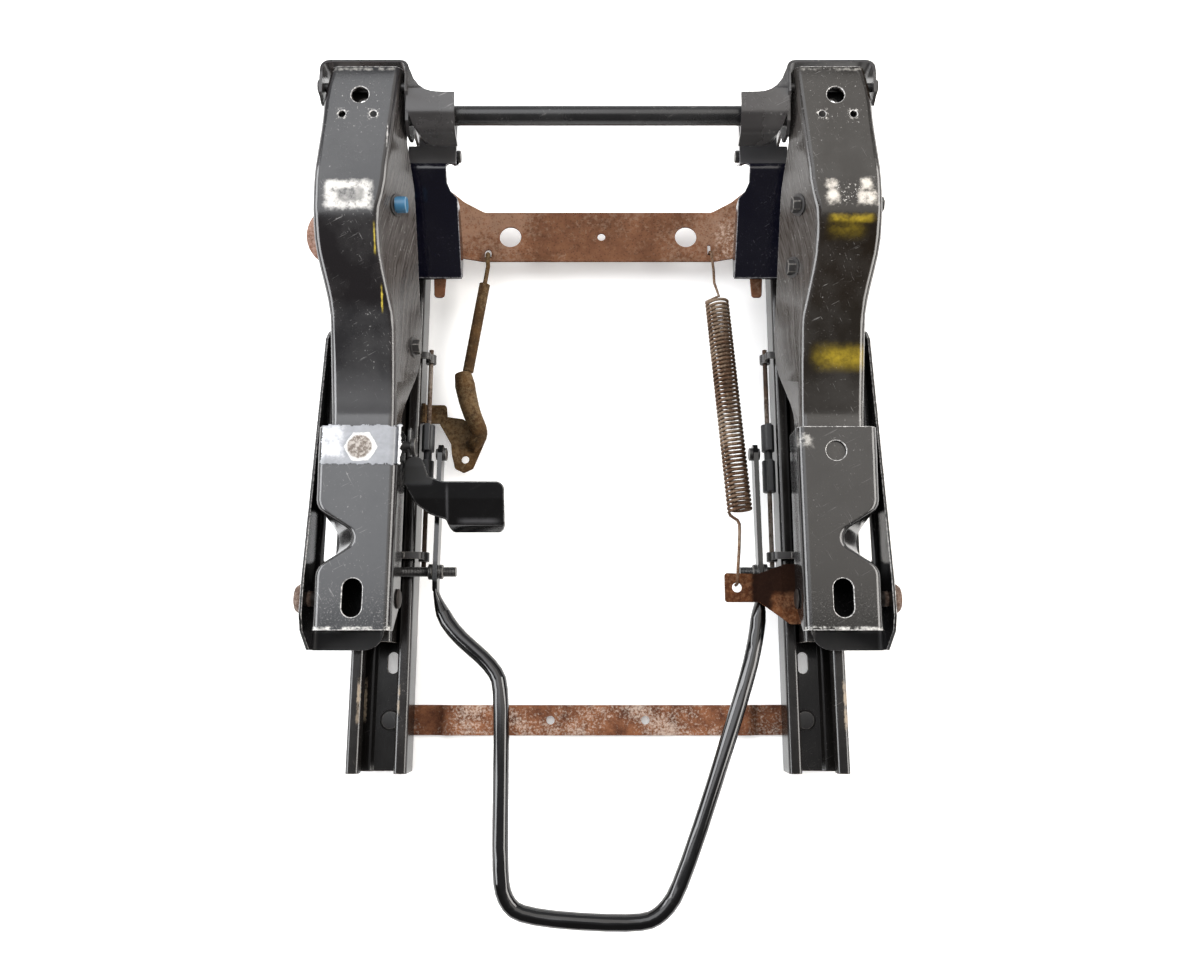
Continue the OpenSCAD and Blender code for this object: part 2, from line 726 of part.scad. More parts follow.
module wall_bolts() {
    color([0.07, 0.07, 0.08])
        union() {
            up(1)
                union() {
                    wall_bolt(185, bolt_z, 5.5, 6);
                    wall_bolt(142, 52, 5.5, 6);
                    pin_x(4, out_at(185) - bracket_t - 4, out_at(185) + 3, 185, bolt_z);
                    pin_x(6.5, out_at(185) + 0.6, out_at(185) + 5, 185, bolt_z, $fn = 6);
                }
            up(-1)
                wall_bolt(84, 22, 5.5, 6);
        }
}
module blue_bolt() {
    color([0.2, 0.42, 0.6])
        up(-1)
            wall_bolt(185, bolt_z, 8, 40);
}
module latch_yoke(side) {
    color([0.3, 0.3, 0.31])
        up(side)
            difference() {
                union() {
                    intersection() {
                        translate([0, 0, rear_rise - 80])
                            linear_extrude(100)
                                sheet2d([[yoke_u, 230], [yoke_u, 298.75], [42, 298.75], [42, 250]], 6, yoke_t);
                        translate([0, 0, rear_rise])
                            union() {
                                along_x(-40, -18)
                                    rounded(2.5)
                                        polygon([[305, -22], [305, -2], [288, 1], [272, 0], [264, -5],
                                            [250, -8], [242, -16], [244, -31], [258, -38], [256, -62],
                                            [264, -66], [269, -60], [273, -32]]);
                                along_x(-18.1, 60)
                                    rounded(2.5)
                                        polygon([[305, -22], [305, -2], [288, 1], [270, 0], [264, -10],
                                            [270, -18]]);
                            }
                    }
                    intersection() {
                        translate([0, 0, rear_rise])
                            along_x(-65, yoke_u)
                                sheet2d([[303, -24], [297, -8], [276, -3], [256, -4], [244, -12], [239, -26]],
                                    10, yoke_t);
                        linear_extrude(200)
                            polygon(concat([for (i = [0:8]) [-65 + (yoke_u + 65) * i / 8, 272 + 26 * pow(i / 8, 5)]],
                                [for (i = [8:-1:0]) [-65 + (yoke_u + 65) * i / 8, 238 + 20 * pow(i / 8, 6)]]));
                    }
                }
                pin_x(yoke_pin_r, yoke_u - yoke_t / 2, 60, yoke_y, yoke_z);
                pin_x(rod_r, -70, -20, rod_y, rod_z);
            }
}
module cross_rod() {
    color([0.1, 0.1, 0.11])
        translate([0, 0, upper_top])
            difference() {
                pin_x(rod_r, -rail_x - yoke_u - 1, rail_x + yoke_u + 1, rod_y, rod_z);
                pin_x(rod_r - rod_wall, 20 - rail_x, rail_x - 20, rod_y, rod_z);
            }
}
module yoke_pins() {
    color([0.15, 0.15, 0.16])
        for (side = [-1, 1])
            up(side)
                union() {
                    pin_x(yoke_pin_r, yoke_u - yoke_t / 2, 45.5, yoke_y, yoke_z);
                    pin_x(6, 43.25, 46, yoke_y, yoke_z);
                }
}

// Release bar: one bent tube with flattened ends on the studs
module release_bar() {
    side = rail_x + bar_u;
    knots = [[-side, -108, -11], [-side, -122, -13], [13 - side, -150, -11], [-84, -180, -6], [-77, -200, -4],
        [-76, -330, 5], [-72, -356, 6], [-56, -368, 6], [30, -373, 6], [50, -366, 6], [66, -342, 5],
        [119, -196, -4], [side - 5, -158, -9], [side, -126, -13], [side, -108, -11]];
    line = smooth(knots, 5);
    n = len(line);
    color([0.08, 0.08, 0.09])
        translate([0, 0, upper_top])
            difference() {
                union() {
                    sweep(line, bar_r, 12, [for (i = [0:n - 1])
                        let (a = 1 - ease(min(norm(line[i] - line[0]), norm(line[i] - line[n - 1])), 8, 34))
                        [1 - 0.64 * a, 1 + 0.12 * a]]);
                    for (x = [-side, side])
                        along_x(x - 2, x + 2)
                            rounded(2)
                                polygon([[-118, -18], [-118, -6], [-110, -4], [-94, -3.5], [0, -8], [8, -12], [8, -19],
                                    [0, -22], [-90, -17]]);
                }
                pin_x(stud_r + running, -side - 10, side + 10, stud_y, stud_z);
                pin_x(3, -side - 10, side + 10, 0, -15);
            }
}
module bar_rivets() {
    color([0.12, 0.12, 0.13])
        for (side = [-1, 1])
            up(side)
                union() {
                    pin_x(3, bar_u - 5, bar_u + 4, 0, -15);
                    pin_x(5.5, bar_u - 5, bar_u - 2, 0, -15);
                    pin_x(5, bar_u + 2, bar_u + 4, 0, -15);
                }
}

// Paddle lever on the left cap's inner wall: a curved strip that widens to a rolled pad
module paddle_lever() {
    color([0.06, 0.06, 0.07])
        up(-1)
            difference() {
                union() {
                    intersection() {
                        along_x(-110, -21)
                            sheet2d([[16, 26], [-20, 27], [-46, 22], [-64, 15], [-70, 6]], 9, 3);
                        translate([0, 0, -20])
                            linear_extrude(60)
                                rounded(7)
                                    polygon([[-22.5, -12], [-22.5, -34], [-32, -50], [-43, -58], [-56, -62], [-60, -71.5],
                                        [-104, -71.5], [-104, -32], [-54, -32], [-42, -28], [-36.6, -12]]);
                    }
                    along_x(-27, -24)
                        rounded(3)
                            polygon([[13, 16], [13, 27], [-20, 28], [-24, 24], [-12, 16]]);
                }
                pin_x(4 + running, -50, -10, paddle_y, paddle_z);
            }
}
module paddle_pin() {
    color([0.12, 0.12, 0.13])
        up(-1)
            union() {
                pin_x(4, -31, -18.4, paddle_y, paddle_z);
                pin_x(7, -31, -27.4, paddle_y, paddle_z);
            }
}

lower_rail(1);  // lower_rail_right
lower_rail(-1);  // lower_rail_left
floor_pads();
front_strap();
strap_rivets();
rear_cross_member();
belt_ear();
link_crank();
link_sleeve();
upper_rail(1);  // upper_rail_right
upper_rail(-1);  // upper_rail_left
glide_shoes();
pivot_tray(1);  // pivot_tray_right
pivot_tray(-1);  // pivot_tray_left
latch_support(1);  // latch_support_right
latch_support(-1);  // latch_support_left
striker_pins();
lock_rods();
lock_sleeves(1);  // lock_sleeves_right
lock_sleeves(-1);  // lock_sleeves_left
rod_clips();
bar_studs();
spring_anchor();
assist_spring();
seat_bracket(1);  // seat_bracket_right
seat_bracket(-1);  // seat_bracket_left
bolt_plates();
front_cap(1);  // front_cap_right
front_cap(-1);  // front_cap_left
pivot_rivets();
wall_bolts();
blue_bolt();
latch_yoke(1);  // latch_yoke_right
latch_yoke(-1);  // latch_yoke_left
cross_rod();
yoke_pins();
release_bar();
bar_rivets();
paddle_lever();
paddle_pin();
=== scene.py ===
import json
import math

import bmesh
import bpy
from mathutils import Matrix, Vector, noise
from mathutils.bvhtree import BVHTree

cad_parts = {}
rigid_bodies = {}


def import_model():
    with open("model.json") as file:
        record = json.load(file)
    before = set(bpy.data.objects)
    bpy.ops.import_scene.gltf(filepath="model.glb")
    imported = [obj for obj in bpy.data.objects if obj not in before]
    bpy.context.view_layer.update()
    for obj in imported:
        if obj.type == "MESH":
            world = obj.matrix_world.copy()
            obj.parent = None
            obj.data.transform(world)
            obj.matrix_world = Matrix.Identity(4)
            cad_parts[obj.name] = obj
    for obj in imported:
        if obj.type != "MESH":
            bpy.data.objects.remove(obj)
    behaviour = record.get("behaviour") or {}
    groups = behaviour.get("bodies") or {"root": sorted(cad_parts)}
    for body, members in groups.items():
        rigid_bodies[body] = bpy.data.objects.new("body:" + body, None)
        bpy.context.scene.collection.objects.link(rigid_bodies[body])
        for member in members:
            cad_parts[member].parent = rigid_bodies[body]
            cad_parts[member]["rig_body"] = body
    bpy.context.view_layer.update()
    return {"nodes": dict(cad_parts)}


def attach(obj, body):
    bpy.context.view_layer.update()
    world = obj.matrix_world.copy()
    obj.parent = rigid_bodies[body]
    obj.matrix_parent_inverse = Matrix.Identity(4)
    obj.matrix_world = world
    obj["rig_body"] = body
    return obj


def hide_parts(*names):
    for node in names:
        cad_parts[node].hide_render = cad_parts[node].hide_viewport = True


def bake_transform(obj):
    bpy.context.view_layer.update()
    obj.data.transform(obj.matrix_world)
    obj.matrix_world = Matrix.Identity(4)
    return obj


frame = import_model()

# Studio: a white sheet under the slide, two wide soft lamps above and behind it and one on each side.
# The camera stands over the release bar and looks down, tipped a little towards the seat's rear.
scene = bpy.context.scene
scene.view_settings.view_transform = "Standard"


def node_in(tree, kind, feed=None, **settings):
    """A node with its settings, its inputs given as values, as three-part colours or as sockets to link."""
    made = tree.nodes.new(kind)
    for key, value in settings.items():
        setattr(made, key, value)
    for key, value in (feed or {}).items():
        socket = made.inputs[key]
        if isinstance(value, bpy.types.NodeSocket):
            tree.links.new(value, socket)
        elif socket.type == "RGBA":
            socket.default_value = (*value, 1)
        else:
            socket.default_value = value
    return made


def math_in(tree, operation, *values, **settings):
    """The outcome of one sum on values or sockets."""
    made = node_in(tree, "ShaderNodeMath", dict(enumerate(values)), operation=operation, **settings)
    return made.outputs[0]


def times(tree, a, b):
    """The product of two values or masks."""
    return math_in(tree, "MULTIPLY", a, b)


def ramp(tree, value, low, high, to_low=0.0, to_high=1.0, **settings):
    """A value taken from one range to another, held at both ends."""
    feed = {"Value": value, "From Min": low, "From Max": high, "To Min": to_low, "To Max": to_high}
    return node_in(tree, "ShaderNodeMapRange", feed, **settings).outputs[0]


def tone_mix(tree, share, under, over, **settings):
    """A colour between two, by share."""
    made = node_in(tree, "ShaderNodeMix", {0: share, 6: under, 7: over}, data_type="RGBA", **settings)
    return made.outputs[2]


def parts_of(tree, vector):
    """A vector's X, Y and Z."""
    return node_in(tree, "ShaderNodeSeparateXYZ", {0: vector}).outputs


def blank_material(name):
    """A material with one Principled BSDF, as (material, tree, shader)."""
    made = bpy.data.materials.new(name)
    made.use_nodes = True
    tree = made.node_tree
    return made, tree, tree.nodes["Principled BSDF"]


floor_half, floor_z, floor_lift = 30.0, -0.0003, 0.3
sheet_mesh = bpy.data.meshes.new("floor_sheet")
sheet_corners = [(x * floor_half, y * floor_half, floor_z) for x, y in ((-1, -1), (1, -1), (1, 1), (-1, 1))]
sheet_mesh.from_pydata(sheet_corners, [], [(0, 1, 2, 3)])
floor_sheet = bpy.data.objects.new("floor_sheet", sheet_mesh)
scene.collection.objects.link(floor_sheet)
sheet_white, tree, shader = blank_material("sheet_white")
shader.inputs["Base Color"].default_value = (0.93, 0.93, 0.925, 1)
shader.inputs["Roughness"].default_value = 0.9
shader.inputs["Specular IOR Level"].default_value = 0.1
shader.inputs["Emission Color"].default_value = (1.0, 0.995, 0.985, 1)
ray = node_in(tree, "ShaderNodeLightPath").outputs
seen = math_in(tree, "ADD", ray["Is Camera Ray"], ray["Is Glossy Ray"])
seen = math_in(tree, "ADD", seen, ray["Is Transmission Ray"], use_clamp=True)
tree.links.new(times(tree, seen, floor_lift), shader.inputs["Emission Strength"])
sheet_mesh.materials.append(sheet_white)

air_front, air_rear, air_strength = (0.2, 0.19, 0.185), (0.8, 0.81, 0.84), 0.75
world = bpy.data.worlds.new("studio_air")
world.use_nodes = True
tree = world.node_tree
toward = parts_of(tree, node_in(tree, "ShaderNodeTexCoord").outputs["Generated"])
air = tone_mix(tree, ramp(tree, toward["Y"], -0.3, 0.25), air_front, air_rear)
tree.links.new(air, tree.nodes["Background"].inputs["Color"])
tree.nodes["Background"].inputs["Strength"].default_value = air_strength
scene.world = world

side_lamp_turn = math.radians(58)
cool_white, warm_white = (0.97, 0.98, 1.0), (1.0, 0.965, 0.92)
for lamp_name, place, wide, deep, watts, tint in (
        ("softbox_left", (-0.8, 0.95, 2.1), 1.6, 1.9, 29, cool_white),
        ("softbox_right", (0.8, 0.95, 2.1), 1.6, 1.9, 16, (1.0, 0.95, 0.89)),
        ("side_left", (-1.6, 0.15, 1.0), 0.9, 1.8, 54, cool_white),
        ("side_right", (1.6, 0.15, 1.0), 0.9, 1.8, 54, warm_white)):
    lamp = bpy.data.lights.new(lamp_name, "AREA")
    lamp.shape = "RECTANGLE"
    lamp.size, lamp.size_y, lamp.energy, lamp.color = wide, deep, watts, tint
    holder = bpy.data.objects.new(lamp_name, lamp)
    holder.location = place
    if lamp_name.startswith("side"):
        holder.rotation_euler = (0, math.copysign(side_lamp_turn, place[0]), 0)
    scene.collection.objects.link(holder)

eye = bpy.data.cameras.new("eye")
eye.sensor_width, eye.lens = 36.0, 28.5
eye_holder = bpy.data.objects.new("eye", eye)
eye_holder.location = (0.00175, -0.190, 0.831)
eye_holder.rotation_euler = (math.radians(11.52), 0, 0)
scene.collection.objects.link(eye_holder)
scene.camera = eye_holder

# Lower rails: two roll-formed steel channels, dipped in black paint, which bolt to the cabin floor.
# Their lips and cut ends have rubbed bright, and their floors carry road dust and brown stains.
sides = {"right": 1, "left": -1}
same_point, same_plane = 0.00001, math.radians(0.5)
sheared_angle, shading_angle = math.radians(38), math.radians(50)


def pressed(node, material, round_edge=0.0):
    """A merged copy of a pressed piece with its sheared edges rounded; those faces carry the edge mask."""
    shape = bmesh.new()
    shape.from_mesh(frame["nodes"][node].data)
    bmesh.ops.remove_doubles(shape, verts=shape.verts, dist=same_point)
    bmesh.ops.dissolve_limit(shape, angle_limit=same_plane, verts=shape.verts, edges=shape.edges)
    edge = shape.faces.layers.float.new("edge")
    sharp = [e for e in shape.edges if len(e.link_faces) == 2 and e.calc_face_angle(0) > sheared_angle]
    if round_edge > 0:
        cut = bmesh.ops.bevel(shape, geom=sharp, offset=round_edge, offset_type="OFFSET", segments=2,
                              profile=0.5, affect="EDGES", clamp_overlap=False)
        for face in cut["faces"]:
            face[edge] = 1.0
    for face in shape.faces:
        face.smooth = True
    mesh = bpy.data.meshes.new(node + "_metal")
    shape.to_mesh(mesh)
    shape.free()
    mesh.set_sharp_from_angle(angle=shading_angle)
    mesh.materials.append(material)
    piece = bpy.data.objects.new(node + "_metal", mesh)
    scene.collection.objects.link(piece)
    even = piece.modifiers.new("even_normals", "WEIGHTED_NORMAL")
    even.keep_sharp = True
    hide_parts(node)
    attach(piece, frame["nodes"][node]["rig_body"])


def noise_in(tree, where, scale, detail, rough=0.5):
    """A cloudy value between 0 and 1 over a place."""
    feed = {"Vector": where, "Scale": scale, "Detail": detail, "Roughness": rough}
    return node_in(tree, "ShaderNodeTexNoise", feed).outputs[0]


def group_tree(name, inputs):
    """An empty shader group for a coat on steel, as (tree, its inputs by name, its output node)."""
    made = bpy.data.node_groups.new(name, "ShaderNodeTree")
    for label, kind, value in inputs:
        made.interface.new_socket(label, in_out="INPUT", socket_type=kind).default_value = value
    for label, kind in (("Color", "NodeSocketColor"), ("Roughness", "NodeSocketFloat"),
                        ("Height", "NodeSocketFloat")):
        made.interface.new_socket(label, in_out="OUTPUT", socket_type=kind)
    return made, made.nodes.new("NodeGroupInput").outputs, made.nodes.new("NodeGroupOutput")


scuffs, given, result = group_tree("scuffed_paint", (
    ("Vector", "NodeSocketVector", (0, 0, 0)), ("Paint", "NodeSocketColor", (0.01, 0.01, 0.011, 1)),
    ("Rub", "NodeSocketColor", (0.3, 0.3, 0.31, 1)), ("Amount", "NodeSocketFloat", 0.5),
    ("Edge", "NodeSocketFloat", 0.0), ("Gloss", "NodeSocketFloat", 0.35)))
haze = noise_in(scuffs, given["Vector"], scale=22.0, detail=6.0, rough=0.62)
peel = noise_in(scuffs, given["Vector"], scale=900.0, detail=2.0)
fleck = noise_in(scuffs, given["Vector"], scale=420.0, detail=3.0, rough=0.7)
lines = []
for turn, grain in ((0.5, (0.0011, 0.02, 0.003)), (-1.1, (0.0013, 0.03, 0.003))):
    feed = {"Vector": given["Vector"], "Rotation": (0, 0, turn), "Scale": grain}
    drawn = node_in(scuffs, "ShaderNodeMapping", feed, vector_type="TEXTURE")
    lines.append(noise_in(scuffs, drawn.outputs[0], scale=1.0, detail=3.0))
line_cut = ramp(scuffs, math_in(scuffs, "MAXIMUM", *lines), 0.68, 0.76)
fleck_cut = ramp(scuffs, fleck, 0.65, 0.71)
haze_cut = ramp(scuffs, haze, 0.42, 0.78)
scratch = times(scuffs, math_in(scuffs, "MAXIMUM", line_cut, fleck_cut), haze_cut)
dust = times(scuffs, haze_cut, 0.055)
worn = times(scuffs, math_in(scuffs, "ADD", scratch, dust), given["Amount"])
edge_worn = times(scuffs, given["Edge"], ramp(scuffs, fleck, 0.38, 0.6, 0.15, 1.0))
bare = math_in(scuffs, "ADD", worn, edge_worn, use_clamp=True)
rough = math_in(scuffs, "ADD", times(scuffs, haze_cut, 0.1), given["Gloss"])
rise = math_in(scuffs, "ADD", times(scuffs, scratch, -0.8), peel)
scuffs.links.new(tone_mix(scuffs, bare, given["Paint"], given["Rub"]), result.inputs["Color"])
scuffs.links.new(rough, result.inputs["Roughness"])
scuffs.links.new(rise, result.inputs["Height"])


def coat_on(tree, shader, group, strength, depth):
    """Feeds a coat group's colour, roughness and height to the shader."""
    tree.links.new(group.outputs["Color"], shader.inputs["Base Color"])
    tree.links.new(group.outputs["Roughness"], shader.inputs["Roughness"])
    feed = {"Height": group.outputs["Height"], "Strength": strength, "Distance": depth}
    tree.links.new(node_in(tree, "ShaderNodeBump", feed).outputs[0], shader.inputs["Normal"])


def painted(name, paint, rub, amount, gloss, edge_share=1.0, bump=0.00006, shine=0.5, lit_top_tone=None):
    """Dipped or sprayed paint over steel, scuffed by the shared group; returns the material and its coat,
    which is (tree, shader, place). Faces that look straight up may take a tone of their own, painted light on
    the tops."""
    made, tree, shader = blank_material(name)
    texture = node_in(tree, "ShaderNodeTexCoord").outputs
    edge = node_in(tree, "ShaderNodeAttribute", attribute_name="edge").outputs["Fac"]
    feed = {"Vector": texture["Object"], "Paint": paint, "Rub": rub, "Amount": amount, "Gloss": gloss,
            "Edge": times(tree, edge, edge_share)}
    group = node_in(tree, "ShaderNodeGroup", feed, node_tree=scuffs)
    # Painted light on the tops: faces that look straight up mix towards the top tone.
    if lit_top_tone:
        painted_top_light = ramp(tree, parts_of(tree, texture["Normal"])["Z"], 0.9, 0.99)
        tree.links.new(tone_mix(tree, painted_top_light, paint, lit_top_tone), group.inputs["Paint"])
    shader.inputs["Specular IOR Level"].default_value = shine
    coat_on(tree, shader, group, strength=0.5, depth=bump)
    return made, (tree, shader, texture["Object"])


def patch(tree, where, middle, half, soft, ragged):
    """A mask that is 1 inside a ragged box in X and Y, on faces that look up, fading over the soft widths."""
    tremble = noise_in(tree, where, scale=260.0, detail=4.0, rough=0.65)
    shift = times(tree, math_in(tree, "SUBTRACT", tremble, 0.5), ragged)
    split = parts_of(tree, where)
    masks = []
    for axis in (0, 1):
        away = math_in(tree, "ABSOLUTE", math_in(tree, "SUBTRACT", split[axis], middle[axis]))
        near, far = half[axis] - soft[axis], half[axis] + soft[axis]
        masks.append(ramp(tree, math_in(tree, "ADD", away, shift), near, far, 1.0, 0.0,
                          interpolation_type="SMOOTHSTEP"))
    facing = parts_of(tree, node_in(tree, "ShaderNodeTexCoord").outputs["Normal"])
    return times(tree, times(tree, *masks), ramp(tree, facing["Z"], 0.25, 0.45))


def flaked(tree, where, scale, low, high):
    """A broken, flaky mask for old paint and chips."""
    return ramp(tree, noise_in(tree, where, scale, detail=6.0, rough=0.7), low, high)


def mark(tree, shader, mask, share, color, dull=None):
    """Lays a colour, and a roughness if given, over what already feeds the shader, by mask times share."""
    part = times(tree, mask, share)
    under = shader.inputs["Base Color"].links[0].from_socket
    tree.links.new(tone_mix(tree, part, under, color), shader.inputs["Base Color"])
    if dull is not None:
        under = shader.inputs["Roughness"].links[0].from_socket
        over = node_in(tree, "ShaderNodeMix", {0: part, 2: under, 3: dull})
        tree.links.new(over.outputs[0], shader.inputs["Roughness"])


def worn_spot(coat, middle, half, soft, ragged, share, color, dull=None, flake=None):
    """Lays a ragged patch of another colour on a coat, broken up by flakes of (scale, low, high) if given."""
    tree, shader, where = coat
    mask = patch(tree, where, middle, half, soft, ragged)
    if flake:
        mask = times(tree, mask, flaked(tree, where, *flake))
    mark(tree, shader, mask, share, color, dull)


stain_tan = (0.3, 0.235, 0.165)
rail_black, coat = painted("rail_black", paint=(0.0052, 0.0045, 0.0042), rub=(0.33, 0.3, 0.27), amount=0.35,
                           gloss=0.2, edge_share=0.75)
for middle, half in (((-0.1965, -0.207), (0.0012, 0.016)), ((-0.1635, -0.206), (0.0008, 0.01)),
                     ((0.203, -0.211), (0.0014, 0.018)), ((0.168, -0.206), (0.0008, 0.008))):
    worn_spot(coat, middle, half, soft=(0.0006, 0.004), ragged=0.003, flake=(150, 0.34, 0.54),
              share=0.75, color=stain_tan, dull=0.6)
for side in sides:
    pressed("lower_rail_" + side, rail_black, round_edge=0.0005)
pressed("floor_pads", rail_black, round_edge=0.0004)

# Front strap: a flat bar of bare mild steel under the rails, rusted brown all over with paler worn spots.
# Two flush rivets hold it, and two small holes took a clip.
rust, given, result = group_tree("rust_bloom", (
    ("Vector", "NodeSocketVector", (0, 0, 0)), ("Brown", "NodeSocketColor", (0.13, 0.06, 0.03, 1)),
    ("Bloom", "NodeSocketColor", (0.27, 0.12, 0.055, 1)), ("Bare", "NodeSocketColor", (0.5, 0.42, 0.36, 1)),
    ("Bare Share", "NodeSocketFloat", 0.3), ("Scale", "NodeSocketFloat", 1.0)))
grown = node_in(rust, "ShaderNodeVectorMath", {0: given["Vector"], "Scale": given["Scale"]},
                operation="SCALE").outputs[0]
cloud = noise_in(rust, grown, scale=60.0, detail=8.0, rough=0.68)
spot = noise_in(rust, grown, scale=310.0, detail=5.0, rough=0.7)
broad = noise_in(rust, grown, scale=14.0, detail=4.0)
pits = node_in(rust, "ShaderNodeTexVoronoi", {"Vector": grown, "Scale": 520.0}, feature="F1")
tone = tone_mix(rust, ramp(rust, cloud, 0.36, 0.66), given["Brown"], given["Bloom"])
bare_cut = ramp(rust, math_in(rust, "ADD", spot, broad), 0.96, 1.16)
bare = times(rust, bare_cut, given["Bare Share"])
tone = tone_mix(rust, bare, tone, given["Bare"])
pit_cut = ramp(rust, pits.outputs["Distance"], 0.05, 0.4, 0.55, 1.0)
rust.links.new(tone_mix(rust, 1.0, tone, pit_cut, blend_type="MULTIPLY"), result.inputs["Color"])
rust.links.new(ramp(rust, bare, 0.0, 1.0, 0.86, 0.5), result.inputs["Roughness"])
rust.links.new(math_in(rust, "ADD", cloud, pit_cut), result.inputs["Height"])


def rusted(name, brown, bloom, bare, bare_share, scale=1.0, bump=0.0003, shine=0.2):
    """Bare steel gone to rust, from the shared group; returns the material and its coat, as painted does."""
    made, tree, shader = blank_material(name)
    where = node_in(tree, "ShaderNodeTexCoord").outputs["Object"]
    feed = {"Vector": where, "Brown": brown, "Bloom": bloom, "Bare": bare, "Bare Share": bare_share,
            "Scale": scale}
    shader.inputs["Specular IOR Level"].default_value = shine
    coat_on(tree, shader, node_in(tree, "ShaderNodeGroup", feed, node_tree=rust), strength=0.6, depth=bump)
    return made, (tree, shader, where)


strap_rust = rusted("strap_rust", brown=(0.06, 0.02, 0.009), bloom=(0.19, 0.075, 0.034),
                    bare=(0.5, 0.42, 0.35), bare_share=0.6, scale=1.5)[0]
pressed("front_strap", strap_rust, round_edge=0.0004)
rivet_black = painted("rivet_black", paint=(0.02, 0.019, 0.019), rub=(0.35, 0.33, 0.3), amount=0.5,
                      gloss=0.38, edge_share=0.4)[0]
pressed("strap_rivets", rivet_black, round_edge=0.0003)

# Rear cross member and belt ear: heavier pressed steel that ties the rails, never painted.
# An even coat of brown rust covers them, lighter where hands and bolts have rubbed.
scraped_tan = (0.48, 0.36, 0.28)
cross_rust, coat = rusted("cross_rust", brown=(0.092, 0.038, 0.018), bloom=(0.17, 0.074, 0.037),
                          bare=(0.32, 0.21, 0.145), bare_share=0.35, scale=0.8)
worn_spot(coat, middle=(0.128, 0.196), half=(0.02, 0.022), soft=(0.006, 0.01), ragged=0.012,
          flake=(330, 0.48, 0.6), share=0.6, color=scraped_tan, dull=0.6)
pressed("rear_cross_member", cross_rust, round_edge=0.0005)
ear_rust = rusted("ear_rust", brown=(0.11, 0.052, 0.033), bloom=(0.2, 0.098, 0.063), bare=(0.4, 0.28, 0.23),
                  bare_share=0.5)[0]
pressed("belt_ear", ear_rust, round_edge=0.0006)

# Link on the left: a stamped crank with a rolled finger, and a wire in a sleeve up to the cross member.
# Both are plain steel with greasy olive brown rust.
link_rust = rusted("link_rust", brown=(0.024, 0.012, 0.0035), bloom=(0.075, 0.037, 0.011),
                   bare=(0.22, 0.155, 0.08), bare_share=0.32, scale=1.1)[0]
pressed("link_crank", link_rust)
pressed("link_sleeve", link_rust)

# Upper rails and their glides: the folded steel rails that carry the seat, riding on moulded nylon shoes.
# The rails are the same dipped black, and the nylon has yellowed with grease.
for side in sides:
    pressed("upper_rail_" + side, rail_black, round_edge=0.0004)
nylon_clean, nylon_greased = (0.72, 0.68, 0.52), (0.4, 0.34, 0.22)
nylon_cream, tree, shader = blank_material("nylon_cream")
grease = noise_in(tree, node_in(tree, "ShaderNodeTexCoord").outputs["Object"], scale=90.0, detail=5.0)
tree.links.new(tone_mix(tree, grease, nylon_clean, nylon_greased), shader.inputs["Base Color"])
shader.inputs["Roughness"].default_value = 0.42
pressed("glide_shoes", nylon_cream, round_edge=0.0004)

# Pivot trays: deep steel pressings on the upper rails whose walls hold the front tilt rivets.
# They are painted black, with a thin bright line along each sheared edge, and their front apron carries
# painted shade, near black and dull.
apron_shade_black = (0.0012, 0.0012, 0.0016)
tray_black, coat = painted("tray_black", paint=(0.005, 0.005, 0.0055), rub=(0.42, 0.41, 0.4), amount=0.35,
                           gloss=0.2, edge_share=0.9, shine=0.33)
# Painted shade: the front apron, under the seat, is made near black and duller.
worn_spot(coat, middle=(0, -0.1625), half=(0.24, 0.0095), soft=(0.002, 0.002), ragged=0.003, share=0.95,
          color=apron_shade_black, dull=0.6)
for side in sides:
    pressed("pivot_tray_" + side, tray_black, round_edge=0.0006)

# Latch supports: pressed steel pieces at the upper rails' rear, in a blue-black dip with a greyer top.
# A plain steel striker pin in thin black paint goes through each, and the latch yokes drop over it.
support_top = (0.05, 0.049, 0.05)
support_black, coat = painted("support_black", paint=(0.002, 0.002, 0.0065), rub=(0.3, 0.3, 0.31),
                              amount=0.25, gloss=0.12, edge_share=0.6)
for sign in sides.values():
    worn_spot(coat, middle=(sign * 0.138, 0.2595), half=(0.04, 0.0255), soft=(0.001, 0.0006), ragged=0.0,
              share=0.9, color=support_top, dull=0.32)
for side in sides:
    pressed("latch_support_" + side, support_black, round_edge=0.0006)
pressed("striker_pins", rivet_black, round_edge=0.0005)

# Lock rods: rusty wire rods along the upper rails, held by clips, with black moulded sleeves on them.
# The sleeves turn the rail locks. Threaded studs beside them, in thin black paint, carry the release bar.
sleeve_matte = painted("sleeve_matte", paint=(0.016, 0.017, 0.019), rub=(0.1, 0.1, 0.1), amount=0.5,
                       gloss=0.52, edge_share=0.2)[0]
rod_rust = rusted("rod_rust", brown=(0.03, 0.02, 0.015), bloom=(0.08, 0.052, 0.036), bare=(0.3, 0.26, 0.22),
                  bare_share=0.5, scale=1.4, bump=0.0001)[0]
pressed("lock_rods", rod_rust, round_edge=0.0002)
for side in sides:
    pressed("lock_sleeves_" + side, sleeve_matte, round_edge=0.0008)
pressed("rod_clips", rivet_black, round_edge=0.0003)
stud_black, coat = painted("stud_black", paint=(0.012, 0.0115, 0.0115), rub=(0.35, 0.33, 0.3), amount=0.5,
                           gloss=0.32, edge_share=0.5)
tree, shader, where = coat
thread = node_in(tree, "ShaderNodeTexWave", {"Vector": where, "Scale": 250.0}, wave_type="BANDS",
                 bands_direction="X")
under = shader.inputs["Normal"].links[0].from_socket
groove = node_in(tree, "ShaderNodeBump", {"Height": thread.outputs["Fac"], "Normal": under, "Strength": 0.8,
                                          "Distance": 0.0006})
tree.links.new(groove.outputs[0], shader.inputs["Normal"])
pressed("bar_studs", stud_black, round_edge=0.0004)

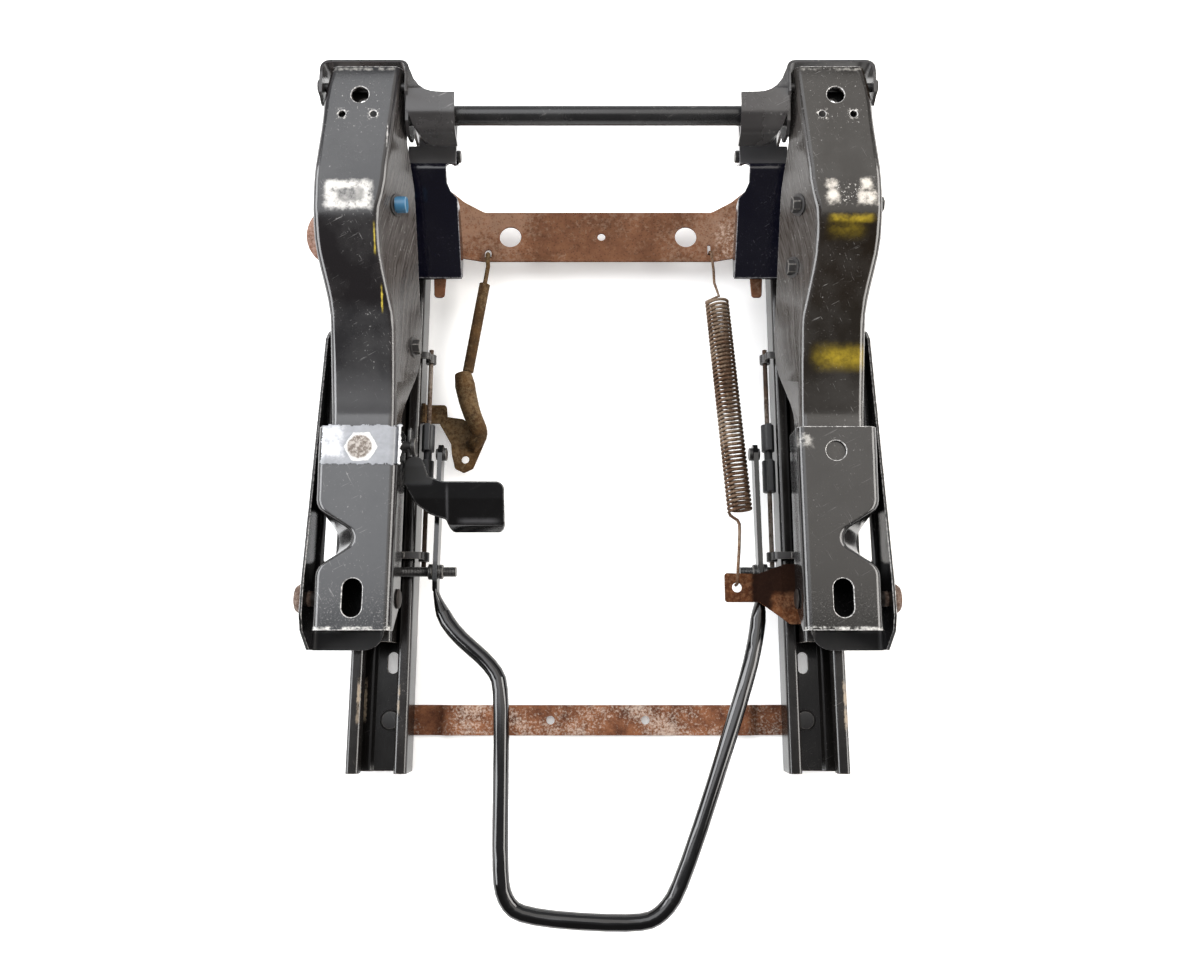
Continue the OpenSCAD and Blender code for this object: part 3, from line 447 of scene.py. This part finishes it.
# Spring anchor: a folded tab of bare steel welded to the right upper rail, with a hole for the spring's hook.
# It has rusted brown, and its slanted middle is painted dark brown and dull, except for the lower corner.
dark_middle_brown = (0.007, 0.0025, 0.0015)


def less(tree, a, b):
    """The part of mask a that mask b leaves."""
    return times(tree, a, math_in(tree, "SUBTRACT", 1.0, b))


anchor_rust, coat = rusted("anchor_rust", brown=(0.03, 0.01, 0.005), bloom=(0.12, 0.044, 0.017),
                           bare=(0.28, 0.15, 0.08), bare_share=0.35, scale=1.1, shine=0.05)
tree, shader, where = coat
dark_middle = patch(tree, where, middle=(0.1445, -0.106), half=(0.0185, 0.03), soft=(0.002, 0.004),
                ragged=0.004)
lower_corner = patch(tree, where, middle=(0.156, -0.1345), half=(0.014, 0.0125), soft=(0.003, 0.004),
                     ragged=0.006)
mark(tree, shader, less(tree, dark_middle, lower_corner), share=0.95, color=dark_middle_brown, dull=0.7)
pressed("spring_anchor", anchor_rust, round_edge=0.0004)

# Assist spring: one length of spring wire wound in an open coil, hooked in the cross member and the anchor.
# It stretches as the seat slides forward.
coil_rear, coil_front = Vector((0.106, 0.141, 0.033)), Vector((0.119, -0.052, 0.047))
turns, steps_per_turn, coil_r, wire_r, wire_sides = 52, 24, 0.0094, 0.00128, 8
rear_hook = ((0.101, 0.18935, 0.0195), (0.101, 0.18935, 0.0255), (0.101, 0.18935, 0.0305),
             (0.1014, 0.1875, 0.0345), (0.102, 0.184, 0.0365), (0.1035, 0.17, 0.0352),
             (0.104, 0.158, 0.034), (0.108, 0.146, 0.033))
front_hook = ((0.1108, -0.0555, 0.0478), (0.1135, -0.0578, 0.049), (0.1163, -0.06, 0.0502),
              (0.1176, -0.0635, 0.0513), (0.1174, -0.07, 0.0524), (0.1163, -0.085, 0.0542),
              (0.1148, -0.1, 0.0556), (0.1144, -0.105, 0.056), (0.114, -0.109, 0.0563),
              (0.114, -0.1124, 0.055), (0.114, -0.11335, 0.0515), (0.114, -0.11335, 0.044))
along = (coil_front - coil_rear).normalized()
across = along.cross(Vector((0, 0, 1))).normalized()
upward = along.cross(across)
route = [Vector(p) for p in rear_hook]
steps = turns * steps_per_turn
for i in range(steps + 1):
    angle = math.tau * turns * i / steps
    spoke = across * math.cos(angle) + upward * math.sin(angle)
    route.append(coil_rear.lerp(coil_front, i / steps) + coil_r * spoke)
route += [Vector(p) for p in front_hook]


def shape_tree(name, sizes):
    """A Geometry Nodes tree with named sizes and a finish, as (tree, its sockets by name, its input node)."""
    tree = bpy.data.node_groups.new(name, "GeometryNodeTree")
    tree.interface.new_socket("Geometry", in_out="INPUT", socket_type="NodeSocketGeometry")
    sockets = {}
    for label in sizes:
        sockets[label] = tree.interface.new_socket(label, in_out="INPUT", socket_type="NodeSocketFloat")
    sockets["Finish"] = tree.interface.new_socket("Finish", in_out="INPUT", socket_type="NodeSocketMaterial")
    tree.interface.new_socket("Geometry", in_out="OUTPUT", socket_type="NodeSocketGeometry")
    return tree, sockets, tree.nodes.new("NodeGroupInput")


def shaped(name, data, tree, sockets, start, built, values):
    """Ends the tree in Realize Instances and Set Material, runs it on the data and returns the plain mesh."""
    plain = node_in(tree, "GeometryNodeRealizeInstances", {"Geometry": built})
    feed = {"Geometry": plain.outputs[0], "Material": start.outputs["Finish"]}
    coat = node_in(tree, "GeometryNodeSetMaterial", feed)
    tree.links.new(coat.outputs[0], tree.nodes.new("NodeGroupOutput").inputs[0])
    holder = bpy.data.objects.new(name, data)
    scene.collection.objects.link(holder)
    layer = holder.modifiers.new(tree.name, "NODES")
    layer.node_group = tree
    for label, value in values.items():
        layer[sockets[label].identifier] = value
    depsgraph = bpy.context.evaluated_depsgraph_get()
    mesh = bpy.data.meshes.new_from_object(holder.evaluated_get(depsgraph), depsgraph=depsgraph)
    bpy.data.objects.remove(holder)
    return mesh


wire_line = bpy.data.curves.new("spring_line", "CURVE")
wire_line.dimensions = "3D"
strand = wire_line.splines.new("POLY")
strand.points.add(len(route) - 1)
for knot, point in zip(strand.points, route):
    knot.co = (*point, 1)
spring_rust = rusted("spring_rust", brown=(0.045, 0.022, 0.012), bloom=(0.12, 0.065, 0.036),
                     bare=(0.32, 0.25, 0.18), bare_share=0.5, scale=1.5, bump=0.0001)[0]
wind, sockets, start = shape_tree("wind_wire", ["Wire Radius"])
ring = node_in(wind, "GeometryNodeCurvePrimitiveCircle", {"Resolution": wire_sides,
                                                          "Radius": start.outputs["Wire Radius"]})
tube = node_in(wind, "GeometryNodeCurveToMesh", {"Curve": start.outputs["Geometry"],
                                                 "Profile Curve": ring.outputs["Curve"], "Fill Caps": True})
spring_mesh = shaped("spring_line", wire_line, wind, sockets, start, tube.outputs[0],
                     {"Wire Radius": wire_r, "Finish": spring_rust})
for face in spring_mesh.polygons:
    face.use_smooth = True
spring = bpy.data.objects.new("assist_spring_wire", spring_mesh)
scene.collection.objects.link(spring)
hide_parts("assist_spring")
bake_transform(spring)

# Seat brackets: long channels pressed from sheet steel, stepping down from the rear bolt face to the caps.
# Their black paint is scuffed grey and chipped to white at the crests, with old yellow marks on it.
# The inside walls show drawn streaks, and steel plates behind the rear holes take the seat bolts.
# The top tones are painted light on each bracket's up-facing faces, and the shine tones a painted sheen.
bracket_tones = {"left": {"paint": (0.0055, 0.0042, 0.0046), "lit_top_tone": (0.011, 0.011, 0.012),
                          "shine": (0.09, 0.09, 0.093)},
                 "right": {"paint": (0.0065, 0.004, 0.002), "lit_top_tone": (0.006, 0.0045, 0.0028),
                           "shine": (0.03, 0.028, 0.026)}}
drawn_grey = (0.13, 0.122, 0.115)
rubbed_grey = (0.5, 0.49, 0.48)
rim_grey = (0.28, 0.27, 0.25)
hole_white = (0.55, 0.53, 0.5)
fleck_white = (0.5, 0.49, 0.47)
painted_sheen_grey = (0.05, 0.05, 0.052)
chip_white = (0.62, 0.605, 0.575)
smudge_grey = (0.4, 0.39, 0.37)
chip_cream = (0.6, 0.56, 0.5)
splash_white = (0.7, 0.68, 0.64)
streak_yellow = (0.55, 0.42, 0.04)
band_yellow = (0.42, 0.3, 0.016)
chip_flake = (170, 0.28, 0.5)
for side, sign in sides.items():
    tones = bracket_tones[side]
    made, coat = painted("bracket_paint_" + side, paint=tones["paint"], rub=rubbed_grey, amount=0.7,
                         gloss=0.13, lit_top_tone=tones["lit_top_tone"])
    tree, shader, where = coat
    facing = parts_of(tree, node_in(tree, "ShaderNodeTexCoord").outputs["Normal"])
    inner_wall = ramp(tree, times(tree, facing["X"], -sign), 0.6, 0.85)
    drawn = node_in(tree, "ShaderNodeMapping", {"Vector": where, "Scale": (260, 4.5, 900)}).outputs[0]
    streaks = ramp(tree, noise_in(tree, drawn, scale=1.0, detail=4.0), 0.25, 0.75)
    mark(tree, shader, times(tree, inner_wall, streaks), share=0.5, color=drawn_grey, dull=0.42)
    worn_spot(coat, middle=(sign * 0.19, 0.2912), half=(0.026, 0.0012), soft=(0.002, 0.001), ragged=0.004,
              flake=(190, 0.46, 0.6), share=0.6, color=rim_grey, dull=0.4)
    for x in (0.1785, 0.2035):
        worn_spot(coat, middle=(sign * x, 0.251), half=(0.0042, 0.004), soft=(0.0014, 0.0014), ragged=0.006,
                  flake=(420, 0.52, 0.6), share=0.8, color=hole_white, dull=0.5)
    worn_spot(coat, middle=(sign * 0.192, 0.258), half=(0.022, 0.022), soft=(0.006, 0.012), ragged=0.012,
              flake=(380, 0.62, 0.69), share=0.7, color=fleck_white, dull=0.5)
    # Painted sheen: the shine tone laid on the tilted faces just behind each cap.
    painted_sheen = patch(tree, where, middle=(sign * 0.193, 0.03), half=(0.05, 0.014), soft=(0.002, 0.018),
                   ragged=0.004)
    painted_sheen = times(tree, painted_sheen, ramp(tree, facing["Z"], 0.75, 0.9))
    mark(tree, shader, painted_sheen, share=0.5, color=tones["shine"])
    if side == "left":
        # Painted sheen: a broad soft lighter band across the left bracket's top just behind its cap.
        worn_spot(coat, middle=(-0.19, 0.04), half=(0.05, 0.006), soft=(0.002, 0.034), ragged=0.003,
                  share=0.3, color=painted_sheen_grey)
        chips = patch(tree, where, middle=(-0.196, 0.1835), half=(0.018, 0.0104), soft=(0.0028, 0.0026),
                      ragged=0.006)
        smudge = patch(tree, where, middle=(-0.1945, 0.1832), half=(0.0105, 0.0052), soft=(0.0035, 0.0025),
                       ragged=0.008)
        chipped = times(tree, less(tree, chips, smudge), flaked(tree, where, *chip_flake))
        smudged = times(tree, smudge, flaked(tree, where, scale=110, low=0.34, high=0.62))
        mark(tree, shader, chipped, share=0.88, color=chip_white, dull=0.6)
        mark(tree, shader, smudged, share=0.6, color=smudge_grey, dull=0.6)
        worn_spot(coat, middle=(-0.1667, 0.2325), half=(0.0003, 0.0095), soft=(0.0004, 0.002),
                  ragged=0.0032, share=0.7, color=rubbed_grey, dull=0.5)
        for x, y, half_length in ((-0.1762, 0.1515, 0.0095), (-0.1722, 0.108, 0.008)):
            worn_spot(coat, middle=(x, y), half=(0.0004, half_length), soft=(0.0007, 0.004), ragged=0.0022,
                      flake=(220, 0.3, 0.5), share=0.85, color=streak_yellow, dull=0.5)
    else:
        for middle, half in (((0.1835, 0.191), (0.0034, 0.0029)), ((0.1845, 0.182), (0.0042, 0.0046)),
                             ((0.2115, 0.1915), (0.0038, 0.0039)), ((0.212, 0.181), (0.0067, 0.0046))):
            worn_spot(coat, middle, half, soft=(0.0028, 0.0026), ragged=0.008, flake=chip_flake,
                      share=0.86, color=chip_cream, dull=0.6)
        worn_spot(coat, middle=(0.199, 0.184), half=(0.016, 0.008), soft=(0.004, 0.004), ragged=0.006,
                  flake=(520, 0.58, 0.64), share=0.8, color=splash_white, dull=0.6)
        for middle, half, soft, share in (((0.2, 0.1657), (0.0165, 0.0026), (0.005, 0.002), 0.75),
                                          ((0.1965, 0.158), (0.0115, 0.0025), (0.008, 0.008), 0.45),
                                          ((0.1965, 0.0635), (0.0185, 0.006), (0.011, 0.008), 0.75)):
            worn_spot(coat, middle, half, soft, ragged=0.0025, flake=(60, 0.3, 0.66),
                      share=share, color=band_yellow, dull=0.3)
    pressed("seat_bracket_" + side, made, round_edge=0.0007)
pressed("bolt_plates", rivet_black, round_edge=0.0004)

# Front caps: slotted steel pressings lapped over the brackets' front ends, with a scoop in the outer edge.
# Their black paint is like the brackets', with painted light on their tops that is greyer on the left, and a
# broken painted highlight along the front lip.
cap_tones = {"left": {"lit_top_tone": (0.022, 0.023, 0.025), "scuffed": 0.5, "speckled": 0.5},
             "right": {"lit_top_tone": (0.008, 0.007, 0.006), "scuffed": 0.3, "speckled": 0.2}}
lip_highlight_white = (0.62, 0.61, 0.58)
speckle_grey = (0.34, 0.33, 0.32)
smudge_cream = (0.6, 0.58, 0.54)
for side, sign in sides.items():
    tones = cap_tones[side]
    made, coat = painted("cap_paint_" + side, paint=(0.006, 0.0055, 0.0055), rub=(0.52, 0.51, 0.5),
                         amount=tones["scuffed"], gloss=0.13, lit_top_tone=tones["lit_top_tone"])
    # Painted highlight: a thin, broken pale line along the front lip.
    worn_spot(coat, middle=(sign * 0.187, -0.1515), half=(0.033, 0.0012), soft=(0.002, 0.0008),
              ragged=0.003, flake=(120, 0.44, 0.58), share=0.8, color=lip_highlight_white, dull=0.5)
    worn_spot(coat, middle=(sign * 0.187, -0.14), half=(0.03, 0.016), soft=(0.008, 0.012), ragged=0.01,
              flake=(700, 0.56, 0.68), share=tones["speckled"], color=speckle_grey, dull=0.4)
    if side == "right":
        worn_spot(coat, middle=(0.165, -0.003), half=(0.005, 0.005), soft=(0.003, 0.003), ragged=0.012,
                  flake=(160, 0.42, 0.6), share=0.5, color=smudge_cream, dull=0.5)
    pressed("front_cap_" + side, made, round_edge=0.0007)

# Sticker film: the torn plastic backing of an old sticker, still stuck to the left cap over its round hole.
# Foil is left on its outer end, with a six-sided paper scrap and dried glue over the hole.
film_low, film_size, film_step = Vector((-0.2215, -0.0238, 0)), Vector((0.066, 0.0348, 0)), 0.0006
film_gap, film_thick = 0.00028, 0.0001
cap_top, lowest_cap_top = 0.0955, 0.085
glue_middle = (-0.19, -0.008)
lump_height, lump_r = 0.0009, 0.011
least_tear, wide_tear, fine_tear, wrinkle_height = 0.001, 0.0014, 0.0012, 0.00012


def walls_of(node):
    """A search tree of a CAD node's faces, to cast rays at."""
    mesh = frame["nodes"][node].data
    return BVHTree.FromPolygons([v.co for v in mesh.vertices], [p.vertices for p in mesh.polygons])


cap_tree = walls_of("front_cap_left")
film_shape = bmesh.new()
film_high = film_low + film_size
columns, rows = round(film_size.x / film_step), round(film_size.y / film_step)
knots = {}
for i in range(columns + 1):
    for j in range(rows + 1):
        x, y = film_low.x + i * film_step, film_low.y + j * film_step
        flat_spot = Vector((x, y, 0))
        torn_wide = wide_tear * noise.noise(flat_spot * 260)
        torn_fine = fine_tear * noise.noise(Vector((x, y, 3)) * 900)
        inset = torn_wide + torn_fine + least_tear
        if min(x - film_low.x, film_high.x - x, y - film_low.y, film_high.y - y) < inset:
            continue
        hit = cap_tree.ray_cast(Vector((x, y, 0.2)), Vector((0, 0, -1)))[0]
        z = hit.z if hit and hit.z > lowest_cap_top else cap_top
        from_glue = math.hypot(x - glue_middle[0], y - glue_middle[1])
        lump = lump_height * max(0.0, 1 - (from_glue / lump_r) ** 2)
        wrinkle = wrinkle_height * noise.noise(flat_spot * 420)
        knots[i, j] = film_shape.verts.new((x, y, z + film_gap + wrinkle + lump))
for i, j in list(knots):
    corners = [knots.get(key) for key in ((i, j), (i + 1, j), (i + 1, j + 1), (i, j + 1))]
    if all(corners):
        film_shape.faces.new(corners)
loose = [v for v in film_shape.verts if not v.link_faces]
bmesh.ops.delete(film_shape, geom=loose, context="VERTS")
bmesh.ops.solidify(film_shape, geom=film_shape.faces[:], thickness=film_thick)
film_mesh = bpy.data.meshes.new("sticker_film")
film_shape.to_mesh(film_mesh)
film_shape.free()
for face in film_mesh.polygons:
    face.use_smooth = True
film_dark, film_pale = (0.13, 0.135, 0.145), (0.27, 0.28, 0.3)
foil_silver = (0.5, 0.51, 0.53)
torn_white = (0.8, 0.8, 0.79)
paper_grey = (0.55, 0.545, 0.53)
glue_tan = (0.3, 0.27, 0.24)
glue_brown = (0.075, 0.055, 0.042)
film, tree, shader = blank_material("torn_film")
where = node_in(tree, "ShaderNodeTexCoord").outputs["Object"]
haze = noise_in(tree, where, scale=140.0, detail=6.0, rough=0.65)
tree.links.new(tone_mix(tree, haze, film_dark, film_pale), shader.inputs["Base Color"])
tree.links.new(ramp(tree, haze, 0.0, 1.0, 0.2, 0.45), shader.inputs["Roughness"])
pucker = node_in(tree, "ShaderNodeBump", {"Height": haze, "Strength": 0.6, "Distance": 0.0006})
tree.links.new(pucker.outputs[0], shader.inputs["Normal"])
coat = (tree, shader, where)
worn_spot(coat, middle=(-0.2145, -0.004), half=(0.0105, 0.0125), soft=(0.005, 0.004), ragged=0.012,
          flake=(90, 0.3, 0.5), share=0.9, color=foil_silver, dull=0.3)
worn_spot(coat, middle=(-0.1572, -0.007), half=(0.0018, 0.016), soft=(0.001, 0.003), ragged=0.006,
          flake=(200, 0.36, 0.5), share=0.85, color=torn_white, dull=0.5)
scrap_middle, tear = (-0.189, -0.008), 0.004
spread = []
for part, middle in zip(parts_of(tree, where), scrap_middle):
    spread.append(math_in(tree, "ABSOLUTE", math_in(tree, "SUBTRACT", part, middle)))
slant = math_in(tree, "MULTIPLY_ADD", spread[0], 0.866, times(tree, spread[1], 0.5))
six_sided = math_in(tree, "MAXIMUM", slant, spread[1])
scrap_edge = math_in(tree, "MULTIPLY_ADD", haze, tear, six_sided)
scrap = ramp(tree, scrap_edge, 0.0133, 0.0139, 1.0, 0.0)
mark(tree, shader, scrap, share=0.9, color=paper_grey, dull=0.6)
reach = node_in(tree, "ShaderNodeVectorMath", {0: where, 1: (*glue_middle, cap_top)}, operation="DISTANCE")
glue_edge = math_in(tree, "MULTIPLY_ADD", haze, tear, reach.outputs["Value"])
glue = ramp(tree, glue_edge, 0.0106, 0.0122, 1.0, 0.0)
mark(tree, shader, glue, share=0.85, color=glue_tan, dull=0.8)
crusted = times(tree, glue, flaked(tree, where, scale=420, low=0.42, high=0.56))
mark(tree, shader, crusted, share=0.85, color=glue_brown, dull=0.9)
film_mesh.materials.append(film)
sticker_film = bpy.data.objects.new("sticker_film", film_mesh)
scene.collection.objects.link(sticker_film)
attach(sticker_film, "seat_frame")

# Pivot rivets and bolts: turned steel through the bracket walls. The rivets' outer heads have gone brown,
# while their shanks and inner heads carry painted shade, near black; the wall bolts are painted black and one
# bolt has blue thread locker on it.
rivet_shade_black = (0.005, 0.004, 0.0035)
pivot_brown, coat = rusted("pivot_brown", brown=(0.05, 0.028, 0.02), bloom=(0.11, 0.068, 0.05),
                           bare=(0.25, 0.2, 0.165), bare_share=0.5, scale=1.2, bump=0.0001)
tree, shader, where = coat
# Painted shade: everything of the rivets between the walls is made near black.
from_middle = math_in(tree, "ABSOLUTE", parts_of(tree, where)["X"])
shaded_inside = ramp(tree, from_middle, 0.2285, 0.2265)
mark(tree, shader, shaded_inside, share=0.92, color=rivet_shade_black, dull=0.5)
pressed("pivot_rivets", pivot_brown, round_edge=0.0006)
pressed("wall_bolts", rivet_black, round_edge=0.0006)
bolt_blue = painted("bolt_blue", paint=(0.03, 0.12, 0.22), rub=(0.3, 0.36, 0.4), amount=0.6, gloss=0.35,
                    edge_share=0.5)[0]
pressed("blue_bolt", bolt_blue, round_edge=0.0006)

# Bolt washers: flat steel discs in thin black paint between four of the wall bolts' heads and the brackets.
# Each lies on the inside wall as the bracket leans there, so its seat is found on the bracket itself.
washer_r, washer_thick, washer_sides, washer_gap, probe = 0.0086, 0.0012, 40, 0.0004, 0.01
spots, outs = [], []
for side, y, z in (("right", 0.185, 0.126), ("right", 0.142, 0.102),
                   ("left", 0.084, 0.072), ("left", 0.185, 0.126)):
    sign = sides[side]
    wall_tree = walls_of("seat_bracket_" + side)
    hits = [wall_tree.ray_cast(Vector((0, y + dy, z + dz)), Vector((sign, 0, 0)))
            for dy, dz in ((-probe, 0), (probe, 0), (0, -probe), (0, probe))]
    out = sum((hit[1] for hit in hits), Vector()).normalized()
    out = -out if out.x * sign > 0 else out
    spots.append(sum((hit[0] for hit in hits), Vector()) / len(hits) + out * washer_gap)
    outs.append(out)
seat_mesh = bpy.data.meshes.new("washer_seats")
seat_mesh.from_pydata(spots, [], [])
aim = seat_mesh.attributes.new("out", "FLOAT_VECTOR", "POINT")
for spot, out in zip(aim.data, outs):
    spot.vector = out
seat_washers, sockets, start = shape_tree("seat_washers", ["Radius", "Thickness"])
disc = node_in(seat_washers, "GeometryNodeMeshCylinder", {
    "Vertices": washer_sides, "Radius": start.outputs["Radius"], "Depth": start.outputs["Thickness"]})
aimed = node_in(seat_washers, "GeometryNodeInputNamedAttribute", {"Name": "out"}, data_type="FLOAT_VECTOR")
turned = node_in(seat_washers, "FunctionNodeAlignRotationToVector", {"Vector": aimed.outputs["Attribute"]},
                 axis="Z")
laid = node_in(seat_washers, "GeometryNodeInstanceOnPoints", {
    "Points": start.outputs["Geometry"], "Instance": disc.outputs["Mesh"],
    "Rotation": turned.outputs["Rotation"]})
washer_mesh = shaped("washer_seats", seat_mesh, seat_washers, sockets, start, laid.outputs[0],
                     {"Radius": washer_r, "Thickness": washer_thick, "Finish": rivet_black})
bolt_washers = bpy.data.objects.new("bolt_washers", washer_mesh)
scene.collection.objects.link(bolt_washers)
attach(bolt_washers, "seat_frame")

# Latch yokes and cross rod: two stamped steel yokes on the rear pins, joined by a black tube.
# The tube makes both lift together. The yokes' grey-black paint is scuffed, and the tube's is glossier.
yoke_grey = painted("yoke_grey", paint=(0.022, 0.0205, 0.0205), rub=(0.5, 0.49, 0.48), amount=0.7,
                    gloss=0.26)[0]
for side in sides:
    pressed("latch_yoke_" + side, yoke_grey)
rod_gloss = painted("rod_gloss", paint=(0.008, 0.008, 0.0085), rub=(0.3, 0.29, 0.28), amount=0.5,
                    gloss=0.24, edge_share=0.6)[0]
pressed("cross_rod", rod_gloss, round_edge=0.0004)
pressed("yoke_pins", rivet_black, round_edge=0.0005)

# Release bar: one bent steel tube in gloss black, which a hand lifts at the front to free the slide.
# Its ends are flattened where they hang on the studs and work the rail locks, with rivets through them.
bar_gloss = painted("bar_gloss", paint=(0.0012, 0.0012, 0.0014), rub=(0.2, 0.2, 0.2), amount=0.12,
                    gloss=0.1, edge_share=0.4, bump=0.00003)[0]
pressed("release_bar", bar_gloss)
pressed("bar_rivets", rivet_black, round_edge=0.0004)

# Paddle: a curved steel strip that widens to a rolled pad, pinned to the left cap's inner wall.
# It is dipped in thick gloss black, dull at its root, and its bends carry three faint pale lines that are
# painted highlights.
paddle_black = (0.002, 0.002, 0.0022)
paddle_gloss, coat = painted("paddle_gloss", paint=paddle_black, rub=(0.25, 0.25, 0.25), amount=0.15,
                             gloss=0.07, edge_share=0.3, bump=0.00003)
worn_spot(coat, middle=(-0.1485, -0.02), half=(0.014, 0.014), soft=(0.002, 0.004), ragged=0.0, share=0.9,
          color=paddle_black, dull=0.75)
# Painted highlights: three faint pale lines along the paddle's fold, lower band and upper edge.
for middle, half, soft, highlight_grey in (((-0.1226, -0.05), (0.0006, 0.013), (0.0014, 0.006), 0.06),
                                 ((-0.097, -0.0635), (0.015, 0.0008), (0.005, 0.003), 0.09),
                                 ((-0.105, -0.0312), (0.024, 0.0004), (0.004, 0.0008), 0.07)):
    worn_spot(coat, middle, half, soft, ragged=0.001, share=0.8, color=(highlight_grey, highlight_grey, highlight_grey * 1.05))
pressed("paddle_lever", paddle_gloss, round_edge=0.0011)
pressed("paddle_pin", rivet_black, round_edge=0.0005)
